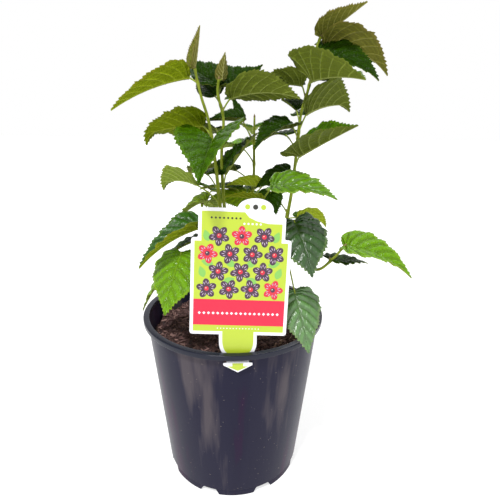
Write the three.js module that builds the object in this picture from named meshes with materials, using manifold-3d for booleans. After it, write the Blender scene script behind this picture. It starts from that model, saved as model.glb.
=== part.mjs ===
// A dwarf mulberry in a round plastic nursery pot, with its plant tag.
// Millimetres, +Z up. The origin is the middle of the pot's underside, and -Y is the front.

import * as THREE from 'three';
import Module from 'manifold-3d';

const wasm = await Module();
wasm.setup();

// Pot: a standard 200 mm nursery pot with a flat collar and a notched foot ring
const POT_RIM_RADIUS = 100;
const POT_HEIGHT = 190;
const POT_COLLAR_HEIGHT = 5;
const POT_WALL_TOP_RADIUS = 95.3;
const POT_WALL_BASE_RADIUS = 77.7;
const POT_MOUTH_RADIUS = 93.6;
const POT_WALL = 1.9;
const POT_SIDES = 40;
const FOOT_HEIGHT = 8.4;
const FOOT_INSET = 0.9;
const FOOT_WALL = 1.9;
const FLOOR_THICKNESS = 2.4;
const CENTRE_FOOT_RADIUS = 12;
const NOTCH_COUNT = 8;
const NOTCH_TURN = 25;
const NOTCH_FOOT_WIDTH = 23;
const NOTCH_TOP_WIDTH = 15;
const NOTCH_HEIGHT = 6.6;
const DRAIN_WIDTH = 11;
const DRAIN_LENGTH = 13;

// Potting mix: fills the pot to a little under the collar
const SOIL_TOP = 168;
const SOIL_ROUGHNESS = 2.2;
const SOIL_GAP = 0.7;
const SOIL_RINGS = [24, 48, 70, 89];
const SOIL_SIDES = 28;

// Plant tag: a thin card with a tab that passes through a slot under the collar
const TAG_X = 4;
const TAG_THICKNESS = 0.8;
const TAG_HALF_WIDTH = 44.6;
const TAG_SHOULDER = 90;
const TAG_UPPER_HALF_WIDTH = 38.6;
const TAG_UPPER_TOP = 116.6;
const TAG_UPPER_TOP_RIGHT = 110.6;
const TAG_ARCH_TOP = 126;
const TAG_ARCH_LEFT = -4.5;
const TAG_ARCH_RIGHT = 27;
const TAG_TAB_HALF_WIDTH = 17.5;
const TAG_NECK_HALF_WIDTH = 10.5;
const TAG_ARROW_HALF_WIDTH = 13.5;
const TAG_CORNER = 2.5;
const TAG_LEAN = 0.12;
const TAG_TURN = 0.036;
const TAG_BASE_Z = 205.8;
const TAG_BASE_Y = -88;
const SLOT_HALF_WIDTH = 13;
const SLOT_BOTTOM = 180;
const SLOT_TOP = 184.8;

// Stems
const CLEARANCE = 0.35;
const ROOT_CLEARANCE = 0.7;
const TRUNK_PATH = [[0, 0, 168.4], [0.6, 0.2, 180], [1.6, 0.6, 197], [3.4, 1, 214]];
const TRUNK_RADII = [[0, 9], [0.08, 7], [0.22, 5.8], [1, 4.4]];
const TRUNK_SIDES = 12;
const STEM_SIDES = 6;
const STEM_STEP = 13;
const BOUGH_FOOT_RADIUS = 2.7;
const BOUGH_END_RADIUS = 1.9;
const SHOOT_TIP_RADIUS = 1.1;
const STALK_SIDES = 3;
const STALK_RADIUS = 1;
const STALK_ARCH = 0.12;

// Each limb leaves the trunk at a height and a heading (degrees from +X). Its bough runs through
// the first places, and the leafy shoot goes on from the last of them.
const LIMBS = {
  left: {
    root: 207, heading: 205,
    bough: [[-9, -8, 258], [-12, -11, 300]],
    shoot: [[-14, -12, 312], [-18, -18, 357], [-24, -22, 396], [-30, -24, 416], [-35, -25, 439]],
  },
  middle: {
    root: 214, heading: null,
    bough: [[-5, -3, 258], [-9, -5, 300]],
    shoot: [[-12, -8, 360], [-10, -10, 397], [-15, -12, 419], [-14, -12, 431]],
  },
  right: {
    root: 198, heading: -5,
    bough: [[28, -1, 236], [46, -4, 270], [54, -5, 290]],
    shoot: [[60, -5, 324], [64, -5, 378], [66, -5, 402], [72, -5, 425], [78, -5, 462], [81, -5, 470]],
  },
  back: {
    root: 203, heading: 75,
    bough: [[12, 22, 250], [18, 33, 286]],
    shoot: [[21, 40, 314], [23, 45, 336], [23, 50, 369], [23, 50, 398]],
  },
  front: {
    root: 192, heading: -70,
    bough: [[8, -17, 225], [12, -20, 262]],
    shoot: [[20, -26, 296], [26, -30, 318]],
  },
  low_left: {
    root: 188, heading: 215,
    bough: [[-14, -14, 215], [-20, -22, 240]],
    shoot: [[-27, -33, 262], [-31, -38, 282]],
  },
  low_right: {
    root: 184, heading: -25,
    bough: [[24, -9, 216], [40, -12, 248], [47, -15, 264]],
    shoot: [[66, -27, 264], [84, -40, 252], [99, -45, 266], [108, -47, 279]],
  },
  rear_left: {
    root: 194, heading: 130,
    bough: [[-15, 17, 225], [-24, 29, 250]],
    shoot: [[-32, 43, 277], [-38, 55, 300]],
  },
  rear_right: {
    root: 188, heading: 52,
    bough: [[15, 19, 222], [28, 34, 248]],
    shoot: [[40, 48, 282], [46, 57, 316]],
  },
};

// Leaf blade of length 1: place on the midrib, place of the margin, half width
const BLADE_STATIONS = [
  [0, -0.01, 0.03], [0.02, -0.06, 0.18], [0.12, 0.19, 0.378],
  [0.33, 0.49, 0.3], [0.6, 0.75, 0.15], [1, 1, 0.008],
];
const CURLED_STATIONS = [[0.74, 0.83, 0.1], [0.87, 0.91, 0.05]];
const FULL_GAIN = 0.3;
const BLADE_HALF_WIDTH = 0.375;
const BLADE_THICKNESS = 0.8;
const BLADE_CUP = 20;
const BLADE_COLUMNS = [0, 0.5, 1];
const YOUNG_WIDTH = 0.85;
const BUD_WIDTH = 0.62;

// Leaves that the front view shows. node: height on the shoot, or its share when under 1.
// stalk: reach of the stalk from the node. blade: length, heading, rise at its base and how far it
// droops to the tip, in degrees. lift: how far the left and right halves fold up. full: how much
// broader its outer half is. lobe: how much further its basal lobes reach back and out. curl: where
// its tip starts to roll under, and how far it rolls.
const LEAVES = {
  left: [
    {
      node: 426, stalk: [-8, -1, 5], blade: [76, -163, -10, 25], lift: [44, 40],
      wide: 0.9, full: -0.7, lobe: -0.05,
    },
    { node: 438, stalk: [0, 1, 2], blade: [35, 35, 78, -5], lift: [60, 60], wide: BUD_WIDTH },
    { node: 380, stalk: [-8, 8, 9], blade: [66, 172, 2, 22], lift: [55, -15], full: -0.3, curl: [0.7, 70] },
    { node: 366, stalk: [0, -12, 11], blade: [82, -96, -9, 24], lift: [45, 30], lobe: 0.12, wide: 1.05 },
    { node: 314, stalk: [-23, -8, 20], blade: [50, 145, 15, 40], lift: [55, 0], full: 1.5, curl: [0.7, 60] },
    { node: 303, stalk: [-15, 8, 12], blade: [40, 160, -15, 40], lift: [20, 45] },
  ],
  middle: [
    { node: 424, stalk: [-1, 4, 3], blade: [50, 147, 30, 10], lift: [0, 55] },
    { node: 408, stalk: [-6, 14, 9], blade: [36, 130, 35, 10], lift: [0, 55] },
    { node: 416, stalk: [2, 12, 10], blade: [52, 25, 4, -44], lift: [60, 10], wide: 1.15, full: 0.4 },
    { node: 402, stalk: [8, -10, 12], blade: [68, 6, 20, 38], lift: [10, 40], twist: -45 },
    { node: 430, stalk: [3, 1, 1], blade: [24, -60, 74, 0], lift: [30, 30], wide: 0.75 },
    { node: 326, stalk: [3, -9, 18], blade: [60, 45, 45, 10], lift: [10, 50] },
  ],
  right: [
    { node: 416, stalk: [-3, 6, 12], blade: [54, 172, 8, 20], lift: [50, 20] },
    { node: 392, stalk: [-2, 10, 13], blade: [32, 115, 25, 10], lift: [40, 50] },
    {
      node: 384, stalk: [8, 8, 17], blade: [63, 30, 26, 34], lift: [10, 66],
      wide: 1.2, full: 1.3, lobe: 0.02, curl: [0.7, 40],
    },
    { node: 428, stalk: [0, -12, 2], blade: [71, -63, 8, 20], lift: [20, 62], wide: 1.18, lobe: 0.11 },
    { node: 446, stalk: [4, -6, 8], blade: [62, -19, 0, 45], lift: [55, -10] },
    { node: 458, stalk: [8, 4, 5], blade: [75, 8, 8, 55], lift: [20, 42] },
    { node: 468, stalk: [1, 0, 2], blade: [49, -7, 36, 0], lift: [50, 60], wide: YOUNG_WIDTH },
    { node: 378, stalk: [-6, -3, 11], blade: [50, -151, 0, 50], lift: [25, 45] },
    {
      node: 345, stalk: [0, -28, 18], blade: [61, -32, 31, 4], lift: [54, 30],
      wide: 1.1, full: 1.6, lobe: 0.08,
    },
    { node: 296, stalk: [12, -4, 2], blade: [39, 18, 15, 70], lift: [20, 60] },
    { node: 338, stalk: [-3, 12, 6], blade: [40, 172, -12, 30], lift: [-35, 45] },
    { node: 302, stalk: [-18, 4, 22], blade: [38, -98, -60, 20], lift: [40, 40] },
  ],
  back: [
    { node: 366, stalk: [-13, -6, 28], blade: [40, -170, 5, 10], lift: [20, 60] },
    { node: 372, stalk: [-16, 4, 22], blade: [30, 140, 70, 10], lift: [20, 30], wide: 0.75 },
    { node: 318, stalk: [8, -15, 7], blade: [38, 178, 12, 20], lift: [62, 40], wide: 1.1 },
    { node: 304, stalk: [-4, -14, 12], blade: [44, 176, 5, 20], lift: [-30, 30] },
    { node: 296, stalk: [-16, -8, 26], blade: [50, 150, 5, 20], lift: [20, 20] },
    { node: 308, stalk: [20, -6, 24], blade: [52, 20, -5, 20], lift: [40, 20] },
  ],
  front: [
    { node: 308, stalk: [12, -28, 30], blade: [60, -17, 8, 32], lift: [40, 5] },
    { node: 314, stalk: [2, -12, 9], blade: [36, 180, 15, 20], lift: [40, 10] },
  ],
  low_left: [
    { node: 276, stalk: [-2, -6, 20], blade: [70, -160, -12, 35], lift: [42, 42], full: -1 },
    { node: 262, stalk: [-23, -18, 12], blade: [62, -112, -45, 20], lift: [5, -5], wide: 1.1, full: 0.7 },
    { node: 250, stalk: [-38, 4, 2], blade: [62, -172, -45, 20], lift: [20, 10] },
    { node: 268, stalk: [-8, 6, 12], blade: [46, 172, -22, 20], lift: [20, 20] },
  ],
  low_right: [
    {
      node: 0.15, stalk: [1, -27, 39], blade: [60, -71, -32, 30], lift: [10, -6],
      wide: 1.08, full: 0.8, lobe: 0.06,
    },
    { node: 0.98, stalk: [3, 4, -1], blade: [72, -18, 2, 45], lift: [35, 15] },
    { node: 0.8, stalk: [0, 6, 0], blade: [46, 13, 0, 20], lift: [10, 10] },
    { node: 0.1, stalk: [7, -34, -31], blade: [62, -75, -42, 15], lift: [5, 0] },
  ],
  rear_left: [],
  rear_right: [],
};

// Leaves on the far side follow a seeded rule: evenly up the shoot, headings and sizes dealt out by
// the golden section, and none closer to another leaf or limb than the space it keeps
const REAR_LEAVES = {
  left: { count: 4, from: 0.2, to: 0.7, headings: [95, 135], rise: 10, seed: 0.69 },
  middle: { count: 4, from: 0.35, to: 0.9, headings: [75, 135], rise: 0, seed: 0.94 },
  right: { count: 4, from: 0.2, to: 0.8, headings: [50, 120], rise: 10, seed: 0.3 },
  back: { count: 4, from: 0.1, to: 0.8, headings: [80, 170], rise: 10, seed: 0.25 },
  rear_left: { count: 4, from: 0.15, to: 0.95, headings: [25, 85], rise: -10, seed: 0.72 },
  rear_right: { count: 4, from: 0.1, to: 0.8, headings: [65, 105], rise: 10, seed: 0.17 },
};
const GOLDEN = 0.618034;
const REAR_STALK = 26;
const REAR_STALK_RISE = 35;
const REAR_BLADE = [44, 62];
const REAR_DROOP = [25, 45];
const REAR_LIFT = [12, 38];
const LEAF_SPACE = 6.5;

const COLOURS = {
  pot: [0x1d1f2a, 0.3],
  soil: [0x3a241c, 0.95],
  tag: [0xb9d433, 0.35],
  bark: [0x7d6a4c, 0.85],
  green_stem: [0x7f9a48, 0.55],
  leaf: [0x3f7a2a, 0.5],
};

function vec(p) {
  return new THREE.Vector3(p[0], p[1], p[2]);
}

function rad(degrees) {
  return (degrees * Math.PI) / 180;
}

function fraction(x) {
  return x - Math.floor(x);
}

function between(range, share) {
  return range[0] + (range[1] - range[0]) * share;
}

function geometryOf(vertices, faces) {
  const geometry = new THREE.BufferGeometry();
  geometry.setAttribute('position', new THREE.Float32BufferAttribute(vertices.flat(), 3));
  geometry.setIndex(faces.flat());
  return geometry;
}

function meshOf(name, geometry, [colour, roughness]) {
  const material = new THREE.MeshStandardMaterial({ color: colour, roughness, metalness: 0 });
  const mesh = new THREE.Mesh(geometry, material);
  mesh.name = name;
  return mesh;
}

// Booleans on closed meshes whose shared vertices are merged

function solidOf(geometry) {
  const merged = mergedPositions(geometry);
  const mesh = new wasm.Mesh({
    numProp: 3,
    vertProperties: merged.vertices,
    triVerts: merged.triangles,
  });
  return new wasm.Manifold(mesh);
}

function mergedPositions(geometry) {
  const position = geometry.getAttribute('position');
  const index = geometry.index ? geometry.index.array : [...Array(position.count).keys()];
  const seen = new Map();
  const vertices = [];
  const place = [];
  for (let i = 0; i < position.count; i += 1) {
    const point = [position.getX(i), position.getY(i), position.getZ(i)];
    const key = point.map((x) => Math.round(x * 1e4)).join();
    if (!seen.has(key)) {
      seen.set(key, vertices.length / 3);
      vertices.push(...point);
    }
    place.push(seen.get(key));
  }
  const triangles = [];
  for (let i = 0; i < index.length; i += 3) {
    const [a, b, c] = [place[index[i]], place[index[i + 1]], place[index[i + 2]]];
    if (a !== b && b !== c && c !== a) triangles.push(a, b, c);
  }
  return { vertices: new Float32Array(vertices), triangles: new Uint32Array(triangles) };
}

function geometryFrom(solid) {
  const mesh = solid.getMesh();
  const geometry = new THREE.BufferGeometry();
  geometry.setAttribute('position', new THREE.BufferAttribute(mesh.vertProperties, 3));
  geometry.setIndex(new THREE.BufferAttribute(mesh.triVerts, 1));
  return geometry;
}

function fused(geometries) {
  return geometries.map(solidOf).reduce((whole, piece) => whole.add(piece));
}

// Pot

function potProfile() {
  const footOuter = POT_WALL_BASE_RADIUS - FOOT_INSET;
  const footInner = footOuter - FOOT_WALL;
  const collarBottom = POT_HEIGHT - POT_COLLAR_HEIGHT;
  const floorTop = FOOT_HEIGHT + FLOOR_THICKNESS;
  return [
    [0, 0],
    [CENTRE_FOOT_RADIUS, 0],
    [CENTRE_FOOT_RADIUS, FOOT_HEIGHT],
    [footInner, FOOT_HEIGHT],
    [footInner, 0],
    [footOuter, 0],
    [footOuter, FOOT_HEIGHT - FOOT_INSET],
    [POT_WALL_BASE_RADIUS, FOOT_HEIGHT],
    [POT_WALL_TOP_RADIUS, collarBottom],
    [POT_RIM_RADIUS - 0.4, collarBottom],
    [POT_RIM_RADIUS, collarBottom + 0.4],
    [POT_RIM_RADIUS, POT_HEIGHT - 0.7],
    [POT_RIM_RADIUS - 0.7, POT_HEIGHT],
    [POT_MOUTH_RADIUS + 0.4, POT_HEIGHT],
    [POT_MOUTH_RADIUS, POT_HEIGHT - 0.6],
    [POT_WALL_TOP_RADIUS - POT_WALL, collarBottom],
    [wallInner(floorTop), floorTop],
    [0, floorTop],
  ];
}

function wallInner(z) {
  const share = (z - FOOT_HEIGHT) / (POT_HEIGHT - POT_COLLAR_HEIGHT - FOOT_HEIGHT);
  return POT_WALL_BASE_RADIUS - POT_WALL + (POT_WALL_TOP_RADIUS - POT_WALL_BASE_RADIUS) * share;
}

function turned(profile, sides) {
  const points = profile.map(([r, z]) => new THREE.Vector2(r, z));
  const geometry = new THREE.LatheGeometry(points, sides);
  geometry.rotateX(Math.PI / 2);
  return geometry;
}

function notchCutter(turn) {
  const outline = new THREE.Shape();
  outline.moveTo(-NOTCH_FOOT_WIDTH / 2, -1);
  outline.lineTo(NOTCH_FOOT_WIDTH / 2, -1);
  outline.lineTo(NOTCH_TOP_WIDTH / 2, NOTCH_HEIGHT);
  outline.lineTo(-NOTCH_TOP_WIDTH / 2, NOTCH_HEIGHT);
  const geometry = new THREE.ExtrudeGeometry(outline, { depth: 12, bevelEnabled: false });
  geometry.rotateX(Math.PI / 2);
  geometry.translate(0, -POT_WALL_BASE_RADIUS + 6, 0);
  geometry.rotateZ(rad(turn));
  return geometry;
}

function drainCutter(turn) {
  const height = FLOOR_THICKNESS + 3;
  const geometry = new THREE.BoxGeometry(DRAIN_WIDTH, DRAIN_LENGTH, height);
  const reach = POT_WALL_BASE_RADIUS - FOOT_INSET - FOOT_WALL - 2 - DRAIN_LENGTH / 2;
  geometry.translate(0, -reach, FOOT_HEIGHT + FLOOR_THICKNESS / 2);
  geometry.rotateZ(rad(turn));
  return geometry;
}

function slotCutter() {
  const geometry = new THREE.BoxGeometry(2 * SLOT_HALF_WIDTH, 12, SLOT_TOP - SLOT_BOTTOM);
  geometry.translate(TAG_X, -94, (SLOT_TOP + SLOT_BOTTOM) / 2);
  return geometry;
}

function makePot() {
  let pot = solidOf(turned(potProfile(), POT_SIDES));
  for (let k = 0; k < NOTCH_COUNT; k += 1) {
    const turn = NOTCH_TURN + (k * 360) / NOTCH_COUNT;
    pot = pot.subtract(solidOf(notchCutter(turn)));
    pot = pot.subtract(solidOf(drainCutter(turn)));
  }
  pot = pot.subtract(solidOf(slotCutter()));
  return meshOf('pot', geometryFrom(pot), COLOURS.pot);
}

// Potting mix

function soilHeight(x, y) {
  const r = Math.hypot(x, y);
  const waves = Math.sin(x * 0.11 + 1.3) * Math.cos(y * 0.09 - 0.4) + 0.6 * Math.sin(y * 0.17 + x * 0.05);
  const nearTrunk = Math.min(1, Math.max(0, (r - 16) / 20));
  return SOIL_TOP - 0.4 + SOIL_ROUGHNESS * waves * nearTrunk - 2 * nearTrunk;
}

function makeSoil() {
  const bottom = FOOT_HEIGHT + FLOOR_THICKNESS + 0.4;
  const vertices = [[0, 0, SOIL_TOP - 0.4], [0, 0, bottom]];
  const faces = [];
  const rings = [...SOIL_RINGS, 'wall', 'floor'];
  for (const ring of rings) {
    for (let k = 0; k < SOIL_SIDES; k += 1) {
      const a = (2 * Math.PI * (k + 0.5)) / SOIL_SIDES;
      let r = ring;
      if (ring === 'wall') r = wallInner(SOIL_TOP - 6) - SOIL_GAP;
      if (ring === 'floor') r = wallInner(bottom) - SOIL_GAP;
      const x = r * Math.cos(a);
      const y = r * Math.sin(a);
      let z = soilHeight(x, y);
      if (ring === 'wall') z = SOIL_TOP - 6;
      if (ring === 'floor') z = bottom;
      vertices.push([x, y, z]);
    }
  }
  const at = (ring, k) => 2 + ring * SOIL_SIDES + (k % SOIL_SIDES);
  for (let k = 0; k < SOIL_SIDES; k += 1) {
    faces.push([0, at(0, k), at(0, k + 1)]);
    for (let ring = 0; ring + 1 < rings.length; ring += 1) {
      faces.push([at(ring, k), at(ring + 1, k), at(ring + 1, k + 1)]);
      faces.push([at(ring, k), at(ring + 1, k + 1), at(ring, k + 1)]);
    }
    faces.push([1, at(rings.length - 1, k + 1), at(rings.length - 1, k)]);
  }
  return meshOf('soil', geometryOf(vertices, faces), COLOURS.soil);
}

// Plant tag: rows across the card from the arrow's tip upwards, each [height, left, right]

function tagRows() {
  const top = TAG_UPPER_TOP;
  const c = TAG_CORNER;
  const w = TAG_HALF_WIDTH;
  const u = TAG_UPPER_HALF_WIDTH;
  const rows = [
    [-34.6, -0.4, 0.4],
    [-26, -TAG_ARROW_HALF_WIDTH, TAG_ARROW_HALF_WIDTH],
    [-23.6, -TAG_ARROW_HALF_WIDTH, TAG_ARROW_HALF_WIDTH],
    [-23.2, -TAG_NECK_HALF_WIDTH, TAG_NECK_HALF_WIDTH],
    [-19.6, -TAG_NECK_HALF_WIDTH, TAG_NECK_HALF_WIDTH],
    [-17.6, -TAG_NECK_HALF_WIDTH, TAG_NECK_HALF_WIDTH],
  ];
  const bend = TAG_TAB_HALF_WIDTH - TAG_NECK_HALF_WIDTH;
  for (let k = 1; k <= 4; k += 1) {
    const a = (Math.PI / 2) * (k / 4);
    const half = TAG_NECK_HALF_WIDTH + bend * Math.sin(a);
    rows.push([-17.6 + 11 * (1 - Math.cos(a)), -half, half]);
  }
  rows.push([0, -TAG_TAB_HALF_WIDTH, TAG_TAB_HALF_WIDTH]);
  rows.push([0.3, -w + c, w - c], [1, -w + c * 0.4, w - c * 0.4], [c, -w, w]);
  rows.push([TAG_SHOULDER - c, -w, w], [TAG_SHOULDER - 0.6, -w + c * 0.5, w - c * 0.5]);
  rows.push([TAG_SHOULDER, -u - 1, u + 1], [TAG_SHOULDER + 1, -u, u]);
  rows.push([TAG_UPPER_TOP_RIGHT - c, -u, u], [TAG_UPPER_TOP_RIGHT, -u, u - c]);
  rows.push([TAG_UPPER_TOP_RIGHT + 0.4, -u, TAG_ARCH_RIGHT + 4]);
  rows.push([top - c, -u, TAG_ARCH_RIGHT + 1], [top, -u + c, TAG_ARCH_RIGHT]);
  const middle = (TAG_ARCH_LEFT + TAG_ARCH_RIGHT) / 2;
  const half = (TAG_ARCH_RIGHT - TAG_ARCH_LEFT) / 2;
  for (let k = 0; k < 6; k += 1) {
    const a = (Math.PI / 2) * (0.02 + (0.93 * k) / 5);
    const reach = half * Math.cos(a);
    rows.push([top + 0.4 + (TAG_ARCH_TOP - top) * Math.sin(a), middle - reach, middle + reach]);
  }
  return rows;
}

// Where a row of the card lies: the panel leans back, the tab bends out through the slot
function tagPlace(height) {
  const bends = [
    [-34.6, -95.9, 171], [-26, -96.5, 179], [-23.2, -96.4, 181.3], [-19.6, -91.6, 183.5],
    [-17.6, -90.6, 186], [-14, -90.1, 190.2], [0, TAG_BASE_Y, TAG_BASE_Z],
  ];
  if (height > 0) {
    return [TAG_BASE_Y + height * Math.sin(TAG_LEAN), TAG_BASE_Z + height * Math.cos(TAG_LEAN)];
  }
  let k = 0;
  while (k + 2 < bends.length && height > bends[k + 1][0]) k += 1;
  const [a, b] = [bends[k], bends[k + 1]];
  const t = (height - a[0]) / (b[0] - a[0]);
  return [a[1] + (b[1] - a[1]) * t, a[2] + (b[2] - a[2]) * t];
}

function makeTag() {
  const rows = tagRows();
  const places = rows.map((row) => tagPlace(row[0]));
  const vertices = [];
  rows.forEach(([height, left, right], k) => {
    const before = places[Math.max(0, k - 1)];
    const after = places[Math.min(rows.length - 1, k + 1)];
    const along = new THREE.Vector2(after[0] - before[0], after[1] - before[1]).normalize();
    const turn = TAG_TURN * Math.min(1, Math.max(0, (height + 16) / 16));
    for (const x of [left, right]) {
      for (const side of [-1, 1]) {
        const off = (side * TAG_THICKNESS) / 2;
        const [y, z] = places[k];
        vertices.push([
          TAG_X + x + turn * Math.max(0, height),
          y + off * along.y,
          z - off * along.x - turn * x,
        ]);
      }
    }
  });
  const faces = [];
  const quad = (a, b, c, d) => faces.push([a, b, c], [a, c, d]);
  for (let k = 0; k + 1 < rows.length; k += 1) {
    const [a, b] = [4 * k, 4 * (k + 1)];
    quad(a, a + 2, b + 2, b);
    quad(a + 3, a + 1, b + 1, b + 3);
    quad(a + 1, a, b, b + 1);
    quad(a + 2, a + 3, b + 3, b + 2);
  }
  const last = 4 * (rows.length - 1);
  quad(0, 1, 3, 2);
  quad(last + 2, last + 3, last + 1, last);
  return meshOf('plant_tag', geometryOf(vertices, faces), COLOURS.tag);
}

// Stems

function curveThrough(points) {
  return new THREE.CatmullRomCurve3(points.map(vec), false, 'catmullrom', 0.5);
}

// A closed tapering tube along points, with its own ring of vertices at each
function tube(points, radii, sides, firstWay = null, lastWay = null) {
  const vertices = [];
  const faces = [];
  let side = null;
  points.forEach((point, k) => {
    const before = points[Math.max(0, k - 1)];
    const after = points[Math.min(points.length - 1, k + 1)];
    let along = after.clone().sub(before).normalize();
    if (k === 0 && firstWay) along = firstWay;
    if (k === points.length - 1 && lastWay) along = lastWay;
    if (side === null) side = Math.abs(along.x) < 0.9 ? vec([1, 0, 0]) : vec([0, 1, 0]);
    side = side.clone().addScaledVector(along, -side.dot(along)).normalize();
    const other = along.clone().cross(side);
    for (let i = 0; i < sides; i += 1) {
      const a = (2 * Math.PI * i) / sides;
      const p = point.clone();
      p.addScaledVector(side, radii[k] * Math.cos(a));
      p.addScaledVector(other, radii[k] * Math.sin(a));
      vertices.push([p.x, p.y, p.z]);
    }
  });
  const at = (k, i) => k * sides + (i % sides);
  for (let k = 0; k + 1 < points.length; k += 1) {
    for (let i = 0; i < sides; i += 1) {
      faces.push([at(k, i), at(k, i + 1), at(k + 1, i + 1)], [at(k, i), at(k + 1, i + 1), at(k + 1, i)]);
    }
  }
  const end = points.length - 1;
  for (let i = 1; i + 1 < sides; i += 1) {
    faces.push([at(0, 0), at(0, i + 1), at(0, i)], [at(end, 0), at(end, i), at(end, i + 1)]);
  }
  return geometryOf(vertices, faces);
}

function radiusAlong(stations, share) {
  let k = 0;
  while (k + 2 < stations.length && share > stations[k + 1][0]) k += 1;
  const [a, b] = [stations[k], stations[k + 1]];
  return a[1] + ((b[1] - a[1]) * (share - a[0])) / (b[0] - a[0]);
}

function makeTrunk() {
  const curve = curveThrough(TRUNK_PATH);
  const shares = [0, 0.08, 0.22, 0.45, 0.7, 1];
  const points = shares.map((t) => curve.getPoint(t));
  points[0].z = TRUNK_PATH[0][2];
  const radii = shares.map((t) => radiusAlong(TRUNK_RADII, t));
  const level = vec([0, 0, 1]);
  return meshOf('trunk', tube(points, radii, TRUNK_SIDES, level, level), COLOURS.bark);
}

// Where a limb leaves the trunk: just clear of its bark, or of its flat top
function limbRoot(limb) {
  const foot = TRUNK_PATH[0][2];
  const top = TRUNK_PATH[TRUNK_PATH.length - 1];
  if (limb.heading === null) {
    return { places: [[top[0], top[1], top[2] + CLEARANCE], [top[0], top[1], top[2] + 9]], way: [0, 0, 1] };
  }
  const share = (limb.root - foot) / (top[2] - foot);
  const axis = curveThrough(TRUNK_PATH).getPoint(share);
  const reach = radiusAlong(TRUNK_RADII, share) + ROOT_CLEARANCE;
  const out = [Math.cos(rad(limb.heading)), Math.sin(rad(limb.heading))];
  const start = [axis.x + out[0] * reach, axis.y + out[1] * reach, limb.root];
  const bend = [start[0] + out[0] * 4.5, start[1] + out[1] * 4.5, limb.root + 2];
  return { places: [start, bend], way: [out[0], out[1], 0] };
}

// The whole run of a limb as points close together, and the number of the point where leaves begin
function limbRun(limb) {
  const root = limbRoot(limb);
  const places = [...root.places, ...limb.bough, ...limb.shoot];
  const leafy = places.length - limb.shoot.length - 1;
  const curve = new THREE.CatmullRomCurve3(places.map(vec), false, 'centripetal');
  const run = [];
  let begin = 0;
  for (let k = 0; k + 1 < places.length; k += 1) {
    if (k === leafy) begin = run.length;
    const steps = Math.max(1, Math.round(vec(places[k]).distanceTo(vec(places[k + 1])) / STEM_STEP));
    for (let i = 0; i < steps; i += 1) run.push(curve.getPoint((k + i / steps) / (places.length - 1)));
  }
  run.push(vec(places[places.length - 1]));
  const joint = run[begin + 1].clone().sub(run[begin - 1]).normalize();
  return { run, begin, joint, way: vec(root.way) };
}

function stretch(points, firstRadius, lastRadius, firstWay, lastWay) {
  const last = points.length - 1;
  const radii = points.map((p, k) => firstRadius + ((lastRadius - firstRadius) * k) / last);
  return tube(points, radii, STEM_SIDES, firstWay, lastWay);
}

function makeBough(name, limb) {
  const { run, begin, joint, way } = limbRun(limb);
  const points = run.slice(0, begin + 1);
  points[begin] = points[begin].clone().addScaledVector(joint, -CLEARANCE);
  const stem = stretch(points, BOUGH_FOOT_RADIUS, BOUGH_END_RADIUS, way, joint);
  return meshOf(`bough_${name}`, stem, COLOURS.green_stem);
}

// Leaves

function nodePoint(shoot, where) {
  if (where <= 1) {
    const place = where * (shoot.length - 1);
    const k = Math.min(shoot.length - 2, Math.floor(place));
    return shoot[k].clone().lerp(shoot[k + 1], place - k);
  }
  let k = 0;
  while (k + 2 < shoot.length && where > shoot[k + 1].z) k += 1;
  const share = (where - shoot[k].z) / (shoot[k + 1].z - shoot[k].z);
  return shoot[k].clone().lerp(shoot[k + 1], Math.min(1, Math.max(0, share)));
}

function bladeSlope(leaf, x) {
  const [, , rise, droop] = leaf.blade;
  const [knee, roll] = leaf.curl ?? [0.5, 0];
  const share = Math.min(1, Math.max(0, x));
  return rad(rise - droop * share - (roll * Math.max(0, share - knee)) / (1 - knee));
}

// A point of the blade: x along it, on the left (-1) or right (1) half, w out from the midrib
function bladePoint(base, leaf, x, half, w) {
  const [length, heading] = leaf.blade;
  const h = rad(heading);
  const steps = 12;
  const point = base.clone();
  for (let k = 0; k < steps; k += 1) {
    const slope = bladeSlope(leaf, (x * (k + 0.5)) / steps);
    const step = (length * x) / steps;
    point.x += step * Math.cos(slope) * Math.cos(h);
    point.y += step * Math.cos(slope) * Math.sin(h);
    point.z += step * Math.sin(slope);
  }
  const slope = bladeSlope(leaf, x);
  const side = new THREE.Vector3(Math.sin(h), -Math.cos(h), 0).multiplyScalar(half);
  const up = vec([-Math.sin(slope) * Math.cos(h), -Math.sin(slope) * Math.sin(h), Math.cos(slope)]);
  const lift = (half < 0 ? leaf.lift[0] : leaf.lift[1]) - (leaf.twist ?? 0) * x * half;
  const bends = 4;
  for (let k = 0; k < bends; k += 1) {
    const a = rad(lift - (BLADE_CUP * (k + 0.5) * w) / (bends * BLADE_HALF_WIDTH));
    point.addScaledVector(side, ((w * length) / bends) * Math.cos(a));
    point.addScaledVector(up, ((w * length) / bends) * Math.sin(a));
  }
  return point;
}

function bladeRows(base, leaf) {
  const lobe = leaf.lobe ?? 0;
  const stations = BLADE_STATIONS.map(([m, e, w], k) => (k === 1 ? [m, e - lobe, w + lobe] : [m, e, w]));
  if (leaf.curl) stations.splice(5, 0, ...CURLED_STATIONS);
  return stations.map(([m, e, w]) => {
    const swell = Math.sin(Math.PI * Math.min(1, Math.max(0, (e - 0.1) / 0.9)));
    const wide = (leaf.wide ?? 1) * (1 + FULL_GAIN * (leaf.full ?? 0) * swell);
    const at = (half, c) => bladePoint(base, leaf, m + (e - m) * c, half, w * c * wide);
    const left = BLADE_COLUMNS.slice(1).reverse().map((c) => at(-1, c));
    return [...left, ...BLADE_COLUMNS.map((c) => at(1, c))];
  });
}

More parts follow.
